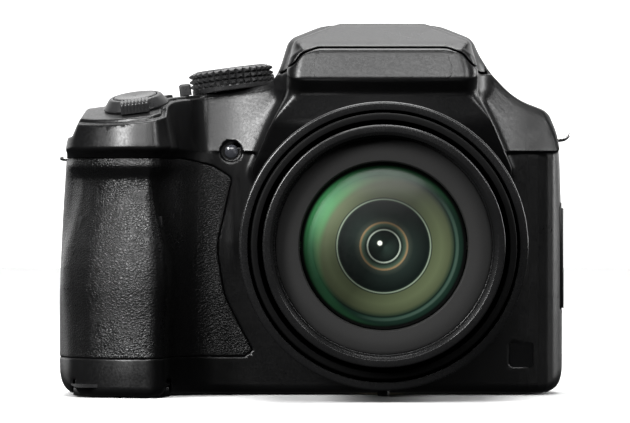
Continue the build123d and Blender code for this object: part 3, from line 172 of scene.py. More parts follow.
def rounded(points, radii, fine=7):
    """Corner points of an outline whose corners are arcs."""
    ring = []
    count = len(points)
    for i in range(count):
        p = np.array(points[i], float)
        a = np.array(points[i - 1], float) - p
        b = np.array(points[(i + 1) % count], float) - p
        la, lb = np.linalg.norm(a), np.linalg.norm(b)
        a, b = a / la, b / lb
        half = 0.5 * math.acos(float(np.clip(a @ b, -1, 1)))
        if half > 1.565:
            ring.append(tuple(p))
            continue
        t = min(radii[i] / math.tan(half), 0.49 * la, 0.49 * lb)
        r = t * math.tan(half)
        middle = p + (a + b) / np.linalg.norm(a + b) * (r / math.sin(half))
        start, end = p + a * t - middle, p + b * t - middle
        a0 = math.atan2(start[1], start[0])
        sweep = (math.atan2(end[1], end[0]) - a0 + math.pi) % (2 * math.pi) - math.pi
        for k in range(fine + 1):
            angle = a0 + sweep * k / fine
            ring.append((middle[0] + r * math.cos(angle), middle[1] + r * math.sin(angle)))
    return ring


def flat_distance(shape, u, v):
    """Signed distance from an outline over the grid u by v, negative inside."""
    ring = rounded(*shape)
    U, V = np.meshgrid(u, v, indexing="ij")
    best = np.full(U.shape, 1e9, np.float32)
    inside = np.zeros(U.shape, bool)
    for (ax, ay), (bx, by) in zip(ring, ring[1:] + ring[:1]):
        ex, ey = bx - ax, by - ay
        length = ex * ex + ey * ey
        if length < 1e-12:
            continue
        t = np.clip(((U - ax) * ex + (V - ay) * ey) / length, 0, 1)
        best = np.minimum(best, (U - ax - t * ex) ** 2 + (V - ay - t * ey) ** 2)
        if by != ay:
            inside ^= ((ay > V) != (by > V)) & (U < ex * (V - ay) / ey + ax)
    return np.where(inside, -1, 1).astype(np.float32) * np.sqrt(best)


def meet(a, b, r=0.0):
    """What two forms share, with the edge between them rounded to r."""
    if np.ndim(r) == 0 and r <= 0:
        return np.maximum(a, b)
    soft = np.sqrt(np.maximum(a + r, 0) ** 2 + np.maximum(b + r, 0) ** 2)
    return np.minimum(np.maximum(a, b), -r) + soft


def join(a, b, r=0.0):
    """Two forms together, with the inner corner between them filled to r."""
    return -meet(-a, -b, r)


class Space:
    """A block of evenly spaced points."""

    def __init__(self, x, y, z):
        self.x, self.y, self.z = x, y, z
        self.X = x[:, None, None]
        self.Y = y[None, :, None]
        self.Z = z[None, None, :]
        self.shape = (len(x), len(y), len(z))

    def front(self, shape):
        return flat_distance(shape, self.x, self.z)[:, None, :]

    def plan(self, shape):
        return flat_distance(shape, self.x, self.y)[:, :, None]

    def side(self, shape):
        return flat_distance(shape, self.y, self.z)[None, :, :]

    def plane(self, point, normal):
        x, y, z = point
        return (self.X - x) * normal[0] + (self.Y - y) * normal[1] + (self.Z - z) * normal[2]

    def rod(self, point, axis, r):
        axis = np.array(axis, float) / np.linalg.norm(axis)
        dx, dy, dz = self.X - point[0], self.Y - point[1], self.Z - point[2]
        along = dx * axis[0] + dy * axis[1] + dz * axis[2]
        across = dx * dx + dy * dy + dz * dz - along * along
        return (np.sqrt(np.maximum(across, 0)) - r).astype(np.float32)

    def block(self, lo, hi, r=0.0):
        near = [np.maximum(lo[i] - c, c - hi[i]) for i, c in enumerate((self.X, self.Y, self.Z))]
        return meet(meet(near[0], near[1], r), near[2], r)

    def window(self, lo, hi):
        cut = []
        for c, a, b in zip((self.x, self.y, self.z), lo, hi):
            i = int(np.searchsorted(c, a))
            j = int(np.searchsorted(c, b))
            cut.append(slice(i, max(j, i + 1)))
        return Space(self.x[cut[0]], self.y[cut[1]], self.z[cut[2]]), tuple(cut)


def space(lo, hi, step):
    return Space(*[np.arange(a, b + step, step).astype(np.float32) for a, b in zip(lo, hi)])


def carve(field, room, lo, hi, form, r):
    """Takes form(part of the room) out of field between two corners."""
    part, cut = room.window(lo, hi)
    field[cut] = meet(field[cut], -form(part), r)


def open_box(field, room, lo, hi, near, far, corner, edge):
    carve(field, room, lo, hi, lambda part: part.block(near, far, corner), edge)


def drill(field, point, reach, axis, r, edge=0.3):
    """Takes a round well out of the part of field within reach of a point on its axis."""
    p = np.array(point)
    carve(field, ROOM, p - reach, p + reach, lambda part: part.rod(p, axis, r), edge)


def trilinear(field, at):
    """Values of field at points given in its own index coordinates."""
    top = np.array(field.shape) - 2
    base = np.clip(np.floor(at).astype(int), 0, top)
    f = np.clip(at - base, 0, 1)
    total = 0
    for corner in itertools.product((0, 1), repeat=3):
        weight = np.prod(np.where(corner, f, 1 - f), axis=1)
        total = total + weight * field[tuple((base + corner).T)]
    return total


def linked(name, data):
    made = bpy.data.objects.new(name, data)
    scene.collection.objects.link(made)
    return made


def surface(name, room, field, node):
    """A piece from a field: its zero surface, shaded by the field's own slope."""
    step = float(room.x[1] - room.x[0])
    field = np.clip(np.broadcast_to(field, room.shape), -3 * step, 3 * step).astype(np.float32)
    grid = openvdb.FloatGrid(3 * step)
    grid.copyFromArray(field)
    points, triangles, quads = grid.convertToPolygons(isovalue=0.0, adaptivity=MERGE)
    slope = np.zeros(points.shape)
    for axis in range(3):
        shift = np.zeros(3)
        shift[axis] = 0.5
        slope[:, axis] = trilinear(field, points + shift) - trilinear(field, points - shift)
    size = np.linalg.norm(slope, axis=1, keepdims=True)
    slope = np.where(size > 1e-6, slope / np.maximum(size, 1e-6), (0, 0, 1))
    low = np.array([room.x[0], room.y[0], room.z[0]])
    places = (points * step + low) * MM
    first = triangles if len(triangles) else quads
    a, b, c = (places[first[:, k]] for k in range(3))
    facing = np.einsum("ij,ij->i", np.cross(b - a, c - a), slope[first[:, 0]]).sum()
    turn = slice(None, None, 1 if facing > 0 else -1)
    faces = [f[turn] for f in triangles.tolist()] + [f[turn] for f in quads.tolist()]
    mesh = bpy.data.meshes.new(name)
    mesh.from_pydata(places.tolist(), [], faces)
    mesh.normals_split_custom_set_from_vertices(slope.tolist())
    piece = linked(name, mesh)
    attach(piece, body_of[node])
    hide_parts(node)
    return piece


def ease(x):
    x = np.clip(x, 0, 1)
    return x * x * (3 - 2 * x)


def on_deck(x, y):
    return np.array([x, y, DECK_Z + DECK_SLOPE * (x - DIAL_X)])


def grip_inset(z):
    """The insets of the grip's front at the heights z, with their corners smoothed."""
    offsets = np.linspace(-1.8, 1.8, 19)
    weights = np.exp(-(offsets / 0.7) ** 2)
    spread = sum(w * np.interp(z + d, GRIP_HEIGHTS, GRIP_INSETS) for d, w in zip(offsets, weights))
    return (spread / weights.sum()).astype(np.float32)


def grip_walls(room):
    """The body's sides as seen from above, with the grip's front drawn in by height."""
    inset = grip_inset(room.z)[None, None, :] + GRIP_LEAN * np.maximum(room.Z - GRIP_LEAN_Z, 0)
    return room.plan(PLAN) + inset * ease((FRONT_Y - room.Y) / GRIP_BLEND)


def shoulder_face(room):
    """Distance behind the leaning face of the shoulders, which sweeps forward to the hump."""
    ahead = room.Y - FRONT_Y - SHOULDER_LEAN * (room.Z - SHELF_Z)
    sweep = np.maximum(SWEEP_START - np.maximum(np.abs(room.X), SWEEP_END), 0) ** 2 / (2 * SWEEP_R)
    return (ahead + sweep) / math.hypot(1, SHOULDER_LEAN)


def rim_step(room, walls, cut):
    """The shallow step along the edge of the decks."""
    deck = room.plane(on_deck(DIAL_X, 0), DECK_NORMAL)
    top = np.maximum(deck, room.plane(GRIP_DECK_POINT, GRIP_DECK_NORMAL))
    rim = meet(-meet(walls, -cut, 0.5) - RIM_INSET, -top - RIM_DROP, 0.2)
    return meet(rim, room.X - DECK_END_X)


def finger_ridge(room):
    """The low upright ridge beside the grip's skin."""
    ridge = RIDGE_HEIGHT * np.exp(-((room.X - RIDGE_X) / 1.5) ** 2) * np.clip((room.Z - 31) / 8, 0, 1)
    return ridge * (room.Y < -8) * (room.Z < SHELF_Z)


def body_form(room, outline):
    """The body without the front of the hump."""
    walls = grip_walls(room)
    form = meet(meet(outline, walls, 2.4), room.side(ROOF), 0.8)
    deck = meet(room.plane(GRIP_DECK_POINT, -GRIP_DECK_NORMAL), room.X - DECK_END_X, 0.5)
    form = meet(form, -deck, 0.5)
    ahead = shoulder_face(room)
    cut = meet(meet(ahead, SHELF_Z - room.Z, 0.2), GRIP_END_X - room.X, 6.0)
    form = meet(form, -cut, 0.5)
    corner = meet(room.plane(CHAMFER_POINT, CHAMFER_NORMAL), CHAMFER_Z - room.Z, 0.3)
    form = meet(form, -corner, 0.6)
    form = meet(form, -rim_step(room, walls, cut), 0.25)
    shoulders = meet(-ahead, SHELF_Z - room.Z, 0.35)
    shoulders = meet(shoulders, np.maximum(np.abs(room.X) - SWEEP_START, room.Y - 2))
    form = join(form, meet(meet(shoulders, outline, 2.0), room.side(ROOF), 0.8), 0.4)
    return form - finger_ridge(room)


def outer_form(room):
    """The outside of the body with its hump, and the hump alone."""
    hump_outline = room.front(mirrored(HUMP_REAR))
    outline = join(room.front(FRONT), hump_outline, 6 + 7 * ease((room.X + 10) / 20))
    form = body_form(room, outline)
    corner = 0.8 + 3.6 * ease((91.5 - room.Z) / 4) * ease((room.Z - 70) / 10)
    profile = room.side(HUMP_SIDE_VIEW)
    front = meet(meet(room.front(mirrored(HUMP_FRONT)), room.Y - 10), profile, corner)
    rear = meet(meet(hump_outline, -8 - room.Y), profile, corner)
    fillet = (2.2 + 3.5 * ease((room.Z - 75) / 4)) * ease((-room.Y - 3) / 6)
    return meet(join(form, front, fillet), room.side(ROOF)), np.minimum(front, rear)


def cavity_form(room, hump):
    return meet(hump + WALL, CAVITY_TOP - room.Z)


def cap_region(room, gap):
    """What the flash cap takes of the hump, less a gap."""
    points, radii = CAP_SEAM
    shape = ([(-x, z) for x, z in reversed(points)] + points, radii[::-1] + radii)
    above = room.front(shape) - gap
    curl = np.sqrt((room.Y - HINGE_Y) ** 2 + (room.Z - HINGE_Z) ** 2) - CURL_R - gap
    return meet(join(room.Y - HINGE_Y - gap, curl), above)


def hinge_ear(room, side, near, far, foot, top):
    """One ear of the flash's hinge, on one side of the middle."""
    low, high = sorted((side * near, side * far))
    ear = join(room.rod(HINGE, (1, 0, 0), EAR_R),
               room.block((-99, HINGE_Y - EAR_R, foot), (99, HINGE_Y + EAR_R, top)))
    return meet(ear, np.maximum(low - room.X, room.X - high), 0.2)


def eye_bay(room):
    bay = room.block((-11.3, -5.8, 71.2), (11.3, 22, 84.8))
    eye = room.block((-7.6, 20, 72.4), (7.6, 30, 83.6), 1.8)
    return join(bay, eye)


LOW = (-86.0, -54.5, -1.5)
HIGH = (50.5, 26.5, 97.5)
ROOM = space(LOW, HIGH, STEP)
FORM, HUMP = outer_form(ROOM)
CAVITY = cavity_form(ROOM, HUMP)
CAP_ZONE = cap_region(ROOM, 0.12)
BARE_PLATE = ROOM.front(mirrored(PLATE))
SKIN_ZONE = meet(ROOM.front(SKIN), ROOM.Y - SKIN_END_Y)
HOLLOW = np.minimum(np.minimum(FORM + WALL, CAVITY), eye_bay(ROOM))
SHELL = meet(FORM, -HOLLOW)
UPPER = join(meet(SEAM_Z - ROOM.Z, SPLIT_Y - ROOM.Y), meet(FRONT_SEAM_Z - ROOM.Z, ROOM.Y - SPLIT_Y))


def lens_mouth(field):
    bore = ROOM.rod((0, 0, LENS_Z), AHEAD, SHROUD_R + 0.05)
    return meet(field, -meet(bore, ROOM.Y - FRONT_Y), 0.3)


def lamp_well(field):
    carve(field, ROOM, (-43, -16, 58), (-35, -8, 67),
          lambda part: meet(part.rod(LAMP, AHEAD, 2.8), part.Y + 13), 0.35)


def top_case():
    field = meet(SHELL, UPPER, 0.04)
    field = meet(field, -CAP_ZONE + 0.12, EDGE)
    field = meet(field, -meet(meet(BARE_PLATE, -(FORM + LAP_SINK)), ROOM.Y + 40))
    field = lens_mouth(field)
    deck_wells(field)
    wheel_wells(field)
    lamp_well(field)
    for side in (-1, 1):
        field = np.minimum(field, hinge_ear(ROOM, side, 6.8, 9.4, 79, HINGE_Z))
    return field


def deck_wells(field):
    spots = [(x, y, r + KEY_GAP) for x, y, r, rise in DECK_KEYS.values()]
    for x, y, r in spots + [(DIAL_X, 0, 2.6)]:
        drill(field, on_deck(x, y), 6, DECK_NORMAL, r)
    drill(field, GRIP_DECK_POINT, 6, GRIP_DECK_NORMAL, 2.2, 0.2)
    p = on_deck(-50.6, -7.5)
    open_box(field, ROOM, p - 5, p + 5, (-51.6, -10.7, 60), (-49.6, -4.3, 90), 0, 0.2)


def thumb_slot(part):
    return meet(part.rod((THUMB_X, THUMB_Y, 0), UP, 9.3), np.maximum(68.6 - part.Z, part.Z - 72.4))


def diopter_slot(part):
    return meet(part.rod((0, DIOPTER_Y, DIOPTER_Z), (1, 0, 0), 4.3), np.abs(part.X - 20) - 1.7)


def wheel_wells(field):
    for x, z, r in HIGH_KEYS.values():
        drill(field, (x, 23, z), (6, 3, 6), AHEAD, r + KEY_GAP)
    carve(field, ROOM, (-72, 5, 66), (-48, 27, 75), thumb_slot, 0.3)
    carve(field, ROOM, (16, 14, 66), (24, 27, 79), diopter_slot, 0.3)
    open_box(field, ROOM, *STRAP_SLOT_FAR)


def front_case():
    sunk = LAP_SINK * ease((ROOM.Z - FRONT_SEAM_Z) / 1.5 + 1)
    field = meet(meet(FORM + sunk, -HOLLOW), ROOM.Z - FRONT_SEAM_Z - LAP)
    field = meet(field, ROOM.Y - SPLIT_Y + HAIR, EDGE)
    skin_bed = meet(SKIN_ZONE - HAIR, -(FORM + SKIN_BED))
    field = meet(field, -skin_bed, 0.18)
    field = lens_mouth(field)
    field = meet(field, -ROOM.rod((0, 0, LENS_Z), AHEAD, 16.0))
    lamp_well(field)
    for opening in (BATTERY_OPENING, SOCKET_OPENING, BADGE_OPENING, STRAP_SLOT_GRIP):
        open_box(field, ROOM, *opening)
    cut_base(field)
    return field


def screen_bay(part):
    frame_bay = part.block((-30.6, 22.8, 5.4), (38.6, 40, 58.6), 1.6)
    return np.minimum(frame_bay, part.block((-26.5, 10, 8.5), (34.5, 40, 55.5), 1.2))


def rear_case():
    field = meet(SHELL, -UPPER + HAIR, EDGE)
    field = meet(field, SPLIT_Y - ROOM.Y + HAIR, EDGE)
    carve(field, ROOM, (-34, 20, 2), (42, 27, 62), screen_bay, 0.2)
    for x, z, r in [*LOW_KEYS.values(), (PAD_X, PAD_Z, 10.0)]:
        reach = r + KEY_GAP + 3
        drill(field, (x, 23.5, z), (reach, 3.5, reach), AHEAD, r + KEY_GAP)
    cut_base(field)
    return field


def cut_base(field):
    for x, y in SCREWS:
        drill(field, (x, y, -0.3), (3, 3, 1.7), UP, 1.4, 0.2)
    drill(field, (0, 0, 0.5), (8, 8, 2.5), UP, 6.1, 0.2)


def flash_cap():
    room = space((-27, -54.5, 81.5), (27, -5, 97), FINE)
    form, hump = outer_form(room)
    field = meet(form, cap_region(room, 0) + 0.1, 0.28)
    field = meet(field, -cavity_form(room, hump))
    for side in (-1, 1):
        field = np.minimum(field, hinge_ear(room, side, 3.0, 6.5, HINGE_Z, 94.4))
    for x in (-6.6, 6.6):
        field = meet(field, -room.block((x - 1.4, -35.6, 94.6), (x + 1.4, -34.4, 99), 0.2), 0.15)
    return room, field


def front_plate():
    room = space((-21, -53.5, 78.5), (21, -44, 90), FINE)
    form = outer_form(room)[0]
    return room, meet(meet(form, -(form + PLATE_DEPTH), 0.1), room.front(mirrored(PLATE)) + HAIR, 0.04)


def grip_skin():
    room = space((-85.5, -48.5, 8), (-31, 9, 62.5), SKIN_STEP)
    form = outer_form(room)[0]
    zone = meet(room.front(SKIN), room.Y - SKIN_END_Y)
    field = meet(meet(form, zone + HAIR, 0.3), -(form + SKIN_DEPTH))
    open_box(field, room, *STRAP_SLOT_SKIN)
    return room, field


# Mesh tools: sizes go in as millimetres, and the mesh is in metres
def place(point, turn_x=0.0, turn_y=0.0):
    turn = Matrix.Rotation(turn_x, 4, "X") @ Matrix.Rotation(turn_y, 4, "Y")
    return Matrix.Translation(Vector([float(c) for c in point])) @ turn


HERE = Matrix.Identity(4)
LENS_PLACE = place((0, 0, LENS_Z), QUARTER)
DECK_TILT = -math.atan(DECK_SLOPE)
GRIP_PLACE = place(GRIP_DECK_POINT, math.atan(GRIP_SLOPE), DECK_TILT)


def deck_place(x, y):
    return place(on_deck(x, y), 0, DECK_TILT)


def rear_place(x, z):
    return place((x, REAR_Y, z), -QUARTER)


def finished(name, bm, matrix, node, look=None, sharp=35.0, replaces=True):
    """Turns a bmesh in millimetres into a piece that stands for a node, or rides with it."""
    bmesh.ops.transform(bm, matrix=Matrix.Scale(MM, 4) @ matrix, verts=bm.verts)
    bmesh.ops.recalc_face_normals(bm, faces=bm.faces)
    mesh = bpy.data.meshes.new(name)
    bm.to_mesh(mesh)
    bm.free()
    mesh.shade_smooth()
    mesh.set_sharp_from_angle(angle=math.radians(sharp))
    mesh.materials.append(looks[look or slot_of[node]])
    piece = linked(name, mesh)
    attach(piece, body_of[node])
    if replaces:
        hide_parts(node)


def bridge(bm, rows):
    """Faces between neighbouring rings of corners."""
    size = len(rows[0])
    for one, two in zip(rows, rows[1:]):
        for k in range(size):
            j = (k + 1) % size
            bm.faces.new((one[k], one[j], two[j], two[k]))


def turned(bm, points, radii=None, segments=160, fine=4):
    """Turns a closed half section of (radius, height) points about z."""
    section = rounded(points, radii, fine) if radii else points
    rings = []
    for r, z in section:
        if r < 1e-6:
            rings.append([bm.verts.new((0, 0, z))])
            continue
        angles = [2 * math.pi * k / segments for k in range(segments)]
        rings.append([bm.verts.new((r * math.cos(a), r * math.sin(a), z)) for a in angles])
    for one, two in zip(rings, rings[1:] + rings[:1]):
        if len(one) == 1 and len(two) == 1:
            continue
        for k in range(segments):
            j = (k + 1) % segments
            corners = [one[k % len(one)], one[j % len(one)], two[j % len(two)], two[k % len(two)]]
            bm.faces.new(dict.fromkeys(corners))
    return bm


def lathe(name, points, radii, matrix, node, segments, look=None, sharp=35.0):
    finished(name, turned(bmesh.new(), points, radii, segments), matrix, node, look, sharp)


def slab(bm, outline, z0, z1, edge=0.0):
    """A plate with the given outline, its top edge rounded off by edge."""
    middle = (sum(p[0] for p in outline) / len(outline), sum(p[1] for p in outline) / len(outline))
    steps = [(z0, 0.0), (z1 - edge, 0.0)]
    steps += [(z1 - edge + edge * math.sin(a), edge * (1 - math.cos(a))) for a in (0.4, 0.8, 1.2, QUARTER)]
    layers = []
    for z, inset in (steps if edge else [(z0, 0.0), (z1, 0.0)]):
        layer = []
        for x, y in outline:
            reach = math.hypot(x - middle[0], y - middle[1])
            keep = 1 - inset / max(reach, 1e-6)
            spot = (middle[0] + (x - middle[0]) * keep, middle[1] + (y - middle[1]) * keep, z)
            layer.append(bm.verts.new(spot))
        layers.append(layer)
    bridge(bm, layers)
    bm.faces.new(layers[0][::-1])
    bm.faces.new(layers[-1])
    return bm


FOOT_Y = -60 * MM
FOOT_Z = 1.0 * MM


def softened(node, width):
    """A copy of a CAD node with its edges rounded, standing in for the node."""
    bm = bmesh.new()
    bm.from_mesh(nodes[node].data)
    if node == "feet":
        for vert in bm.verts:
            if vert.co.y < FOOT_Y:
                vert.co.z = max(vert.co.z, FOOT_Z)
    bmesh.ops.remove_doubles(bm, verts=bm.verts, dist=2e-6)
    bmesh.ops.dissolve_limit(bm, angle_limit=math.radians(0.6), verts=bm.verts, edges=bm.edges)
    edges = [e for e in bm.edges if len(e.link_faces) == 2 and e.calc_face_angle(0) > math.radians(25)]
    bmesh.ops.bevel(bm, geom=edges, offset=width * MM, segments=2, profile=0.5, affect="EDGES",
                    clamp_overlap=True)
    bmesh.ops.scale(bm, vec=(1 / MM,) * 3, verts=bm.verts)
    finished(node + "_moulded", bm, HERE, node, sharp=38.0)


# Materials
class Look:
    """A node material under construction, in object space, with lengths in metres."""

    def __init__(self, name):
        self.material = bpy.data.materials.new(name)
        self.material.use_nodes = True
        self.tree = self.material.node_tree
        self.shader = self.tree.nodes["Principled BSDF"]
        self.place = self.node("ShaderNodeTexCoord").outputs["Object"]

    def node(self, kind, **settings):
        made = self.tree.nodes.new(kind)
        for key, value in settings.items():
            setattr(made, key, value)
        return made

    def link(self, out, socket):
        self.tree.links.new(out, socket)

    def fill(self, made, **values):
        for key, value in values.items():
            made.inputs[key.replace("_", " ")].default_value = value

    def set(self, **values):
        self.fill(self.shader, **values)

    def noise(self, scale, detail=3.0, roughness=0.5, at=None):
        made = self.node("ShaderNodeTexNoise")
        self.fill(made, Scale=scale, Detail=detail, Roughness=roughness)
        self.link(at or self.place, made.inputs["Vector"])
        return made.outputs["Fac"]

    def cells(self, scale, feature="DISTANCE_TO_EDGE", at=None):
        made = self.node("ShaderNodeTexVoronoi", feature=feature)
        made.inputs["Scale"].default_value = scale
        self.link(at or self.place, made.inputs["Vector"])
        return made.outputs["Distance"]

    def feed(self, socket, value):
        if isinstance(value, tuple):
            socket.default_value = (*value, 1.0)
        elif isinstance(value, (int, float)):
            socket.default_value = value
        else:
            self.link(value, socket)

    def math(self, operation, *values, clamp=False):
        made = self.node("ShaderNodeMath", operation=operation, use_clamp=clamp)
        for socket, value in zip(made.inputs, values):
            self.feed(socket, value)
        return made.outputs[0]

    def times(self, a, b, clamp=False):
        return self.math("MULTIPLY", a, b, clamp=clamp)

    def plus(self, a, b):
        return self.math("ADD", a, b)

    def spread(self, value, low, high, a=0.0, b=1.0, smooth=False):
        """Value from a..b carried over to low..high."""
        made = self.node("ShaderNodeMapRange", interpolation_type="SMOOTHSTEP" if smooth else "LINEAR")
        self.link(value, made.inputs["Value"])
        for key, number in zip(("From Min", "From Max", "To Min", "To Max"), (a, b, low, high)):
            made.inputs[key].default_value = number
        return made.outputs["Result"]

    def uneven(self, cloud, middle, reach):
        """A number that a cloud carries up and down by reach."""
        return self.spread(cloud, middle - reach, middle + reach, 0.3, 0.7)

    def clouded(self, cloud, colour, low, high, a=0.3, b=0.7):
        """A colour that a cloud carries from one tone of it to another."""
        return self.mix(self.spread(cloud, 0.0, 1.0, a, b), tone(colour, low), tone(colour, high))

    def ramp(self, value, stops):
        made = self.node("ShaderNodeValToRGB")
        ramp = made.color_ramp
        while len(ramp.elements) < len(stops):
            ramp.elements.new(0.5)
        for element, (position, colour) in zip(ramp.elements, stops):
            element.position = position
            element.color = (*colour, 1.0)
        self.link(value, made.inputs["Fac"])
        return made.outputs["Color"]

    def mix(self, factor, a, b, kind="MIX"):
        made = self.node("ShaderNodeMix", data_type="RGBA", blend_type=kind, clamp_factor=False)
        colours = [socket for socket in made.inputs if socket.type == "RGBA"]
        for socket, value in zip((made.inputs[0], *colours), (factor, a, b)):
            self.feed(socket, value)
        return next(socket for socket in made.outputs if socket.type == "RGBA")

    def bump(self, height, strength, distance, below=None):
        made = self.node("ShaderNodeBump")
        self.fill(made, Strength=strength, Distance=distance)
        self.link(height, made.inputs["Height"])
        if below:
            self.link(below, made.inputs["Normal"])
        self.link(made.outputs["Normal"], self.shader.inputs["Normal"])
        return made.outputs["Normal"]

    def wear(self, amount):
        """Bright on worn edges, from the mesh's pointiness broken up by noise."""
        point = self.node("ShaderNodeNewGeometry").outputs["Pointiness"]
        edge = self.spread(point, 0.0, 1.0, 0.52, 0.58)
        return self.times(edge, self.spread(self.noise(260, 4, 0.7), 0.0, amount, 0.35, 0.7))

    def paint(self, colour):
        self.link(colour, self.shader.inputs["Base Color"])

    def rough(self, value):
        self.link(value, self.shader.inputs["Roughness"])


def tone(colour, factor):
    return tuple(min(1.0, c * factor) for c in colour)


def plastic(name, colour, rough, grain=1700.0, strength=0.35, wear=0.5, spread=0.06):
    look = Look(name)
    patch = look.noise(55, 4, 0.6)
    speck = look.noise(grain, 2, 0.5)
    look.paint(look.mix(look.wear(wear), look.clouded(patch, colour, 0.86, 1.14), tone(colour, 2.6)))
    look.rough(look.plus(look.uneven(patch, rough, spread), look.uneven(speck, 0.0, 0.05)))
    below = look.bump(speck, strength, 0.00004)
    look.bump(look.noise(90, 2, 0.5), 0.06, 0.0004, below)
    return look.material


def metal(name, colour, rough, brushed=(1, 1, 1)):
    look = Look(name)
    look.set(Metallic=1.0)
    stretch = look.node("ShaderNodeMapping")
    look.fill(stretch, Scale=brushed)
    look.link(look.place, stretch.inputs["Vector"])
    lines = look.noise(2200, 3, 0.6, stretch.outputs["Vector"])
    patch = look.noise(120, 4, 0.6)
    look.paint(look.clouded(patch, colour, 0.82, 1.1))
    look.rough(look.plus(look.uneven(patch, rough, 0.07), look.uneven(lines, 0.0, 0.06)))
    look.bump(lines, 0.2, 0.00002)
    return look.material


def rubber(name, colour):
    look = Look(name)
    dust = look.noise(70, 5, 0.65)
    look.paint(look.clouded(dust, colour, 1.0, 1.7, 0.35, 0.75))
    look.rough(look.spread(dust, 0.54, 0.72, 0.3, 0.7))
    look.bump(look.noise(2600, 2, 0.5), 0.4, 0.00005)
    return look.material


def leatherette(name, colour):
    """Pebbles a millimetre across, drawn out by a swirl, with finer cells on them, and painted shade
    darkening the creases between them.
    """
    look = Look(name)
    warp = look.node("ShaderNodeVectorMath", operation="MULTIPLY_ADD")
    swirl = look.node("ShaderNodeTexNoise")
    look.fill(swirl, Scale=420, Detail=2)
    look.link(look.place, swirl.inputs["Vector"])
    look.link(swirl.outputs["Color"], warp.inputs[0])
    warp.inputs[1].default_value = (0.0008, 0.0008, 0.0008)
    look.link(look.place, warp.inputs[2])
    turn = look.node("ShaderNodeMapping")
    look.fill(turn, Rotation=(0.25, 0.6, 0.3), Scale=(1.0, 1.0, 1.55))
    look.link(warp.outputs["Vector"], turn.inputs["Vector"])
    at = turn.outputs["Vector"]
    crease = look.cells(1050, at=at)
    pebble = look.math("SMOOTH_MIN", look.spread(crease, 0.0, 1.0, 0.0, 0.32), 0.8, 0.4)
    fine = look.spread(look.cells(2600, at=at), 0.0, 0.35, 0.0, 0.3)
    # Painted shade: the creases between the pebbles are painted darker, down to 0.45 of the colour.
    crease_shade = look.spread(crease, 0.0, 1.0, 0.0, 0.14)
    patch = look.noise(45, 4, 0.6)
    look.paint(look.mix(crease_shade, tone(colour, 0.45), look.clouded(patch, colour, 0.85, 1.15)))
    look.rough(look.plus(look.spread(crease_shade, 0.46, 0.30), look.uneven(patch, 0.0, 0.05)))
    look.bump(look.plus(pebble, fine), 0.6, 0.00013)
    return look.material


def lens_axis_radius(look, dx=0.0, dz=0.0):
    parts = look.node("ShaderNodeSeparateXYZ")
    look.link(look.place, parts.inputs[0])
    x = look.math("MULTIPLY_ADD", parts.outputs["X"], 1000.0, -dx)
    z = look.math("MULTIPLY_ADD", parts.outputs["Z"], 1000.0, -LENS_Z - dz)
    square = look.plus(look.times(x, x), look.times(z, z))
    return look.math("SQRT", square), x, z


def barrel_satin(name, colour, rough, level=0.5):
    """Turned satin finish with very fine rings about the lens axis."""
    look = Look(name)
    look.set(Specular_IOR_Level=level)
    parts = look.node("ShaderNodeSeparateXYZ")
    look.link(look.place, parts.inputs[0])
    along = look.times(parts.outputs["Y"], 9000.0)
    rings = look.math("SINE", look.math("MULTIPLY_ADD", lens_axis_radius(look)[0], 26.0, along))
    speck = look.noise(2400, 2, 0.5)
    patch = look.noise(60, 4, 0.6)
    look.paint(look.clouded(patch, colour, 0.9, 1.12))
    look.rough(look.plus(look.uneven(speck, rough, 0.05), look.uneven(patch, 0.0, 0.04)))
    look.bump(speck, 0.08, 0.00002, look.bump(rings, 0.05, 0.00001))
    return look.material


def name_ring_with_painted_shade(name, colour):
    """Matt grey, with painted shade blackening it towards its outer edge, where the barrel's step overhangs
    it.
    """
    look = Look(name)
    look.set(Specular_IOR_Level=0.3)
    base = look.clouded(look.noise(80, 4, 0.6), colour, 0.92, 1.08)
    # Painted shade: black towards the outer edge, where the barrel's step overhangs the ring.
    painted_shade = look.spread(lens_axis_radius(look)[0], 0.0, 1.0, 22.8, 26.6, smooth=True)
    look.paint(look.mix(painted_shade, base, tone(colour, 0.1)))
    speck = look.noise(2200, 2, 0.5)
    look.rough(look.uneven(speck, 0.58, 0.06))
    look.bump(speck, 0.25, 0.00003)
    return look.material


# What shows in the front glass, all painted: the inner elements, painted reflections of the coating and on
# the lens edges, and a painted highlight; places in millimetres, then colours by share of its radius
GLASS_R = 20.6
GREEN_REFLECTION_OFFSET = (2.6, -1.9)
SPOT_HIGHLIGHT_OFFSET = (-1.0, 0.75)
OLIVE = (0.088, 0.108, 0.056)
DEEP = (0.004, 0.008, 0.007)
GREEN_REFLECTION = (0.10, 0.50, 0.17)
TEAL_REFLECTION = (0.10, 0.17, 0.13)
SPOT_HIGHLIGHT = (0.95, 1.0, 0.86)
# The ramp paints the inner elements seen through the glass; its thin light rings are painted reflections on
# the lens edges.
GLASS_STOPS = [
    (0.0, (0.02, 0.035, 0.028)), (0.14, (0.010, 0.016, 0.013)), (0.185, DEEP), (0.197, (0.40, 0.46, 0.38)),
    (0.212, DEEP), (0.262, (0.05, 0.08, 0.055)), (0.286, (0.24, 0.16, 0.08)), (0.30, (0.035, 0.045, 0.035)),
    (0.36, (0.012, 0.019, 0.016)), (0.53, (0.004, 0.007, 0.006)), (0.552, (0.008, 0.014, 0.011)),
    (0.565, (0.24, 0.30, 0.22)), (0.578, (0.012, 0.018, 0.013)), (0.592, tone(OLIVE, 0.8)),
    (0.70, OLIVE), (0.80, tone(OLIVE, 0.72)), (0.845, (0.02, 0.034, 0.02)), (0.856, (0.006, 0.011, 0.008)),
    (0.87, (0.010, 0.030, 0.020)), (0.955, (0.006, 0.016, 0.011)), (0.972, (0.002, 0.002, 0.002)),
]


def band(look, inner, outer, rise, fall):
    """One between two radii, fading in over rise and out over fall."""
    return look.times(look.spread(inner, 0.0, 1.0, *rise, smooth=True),
                      look.spread(outer, 1.0, 0.0, *fall, smooth=True))


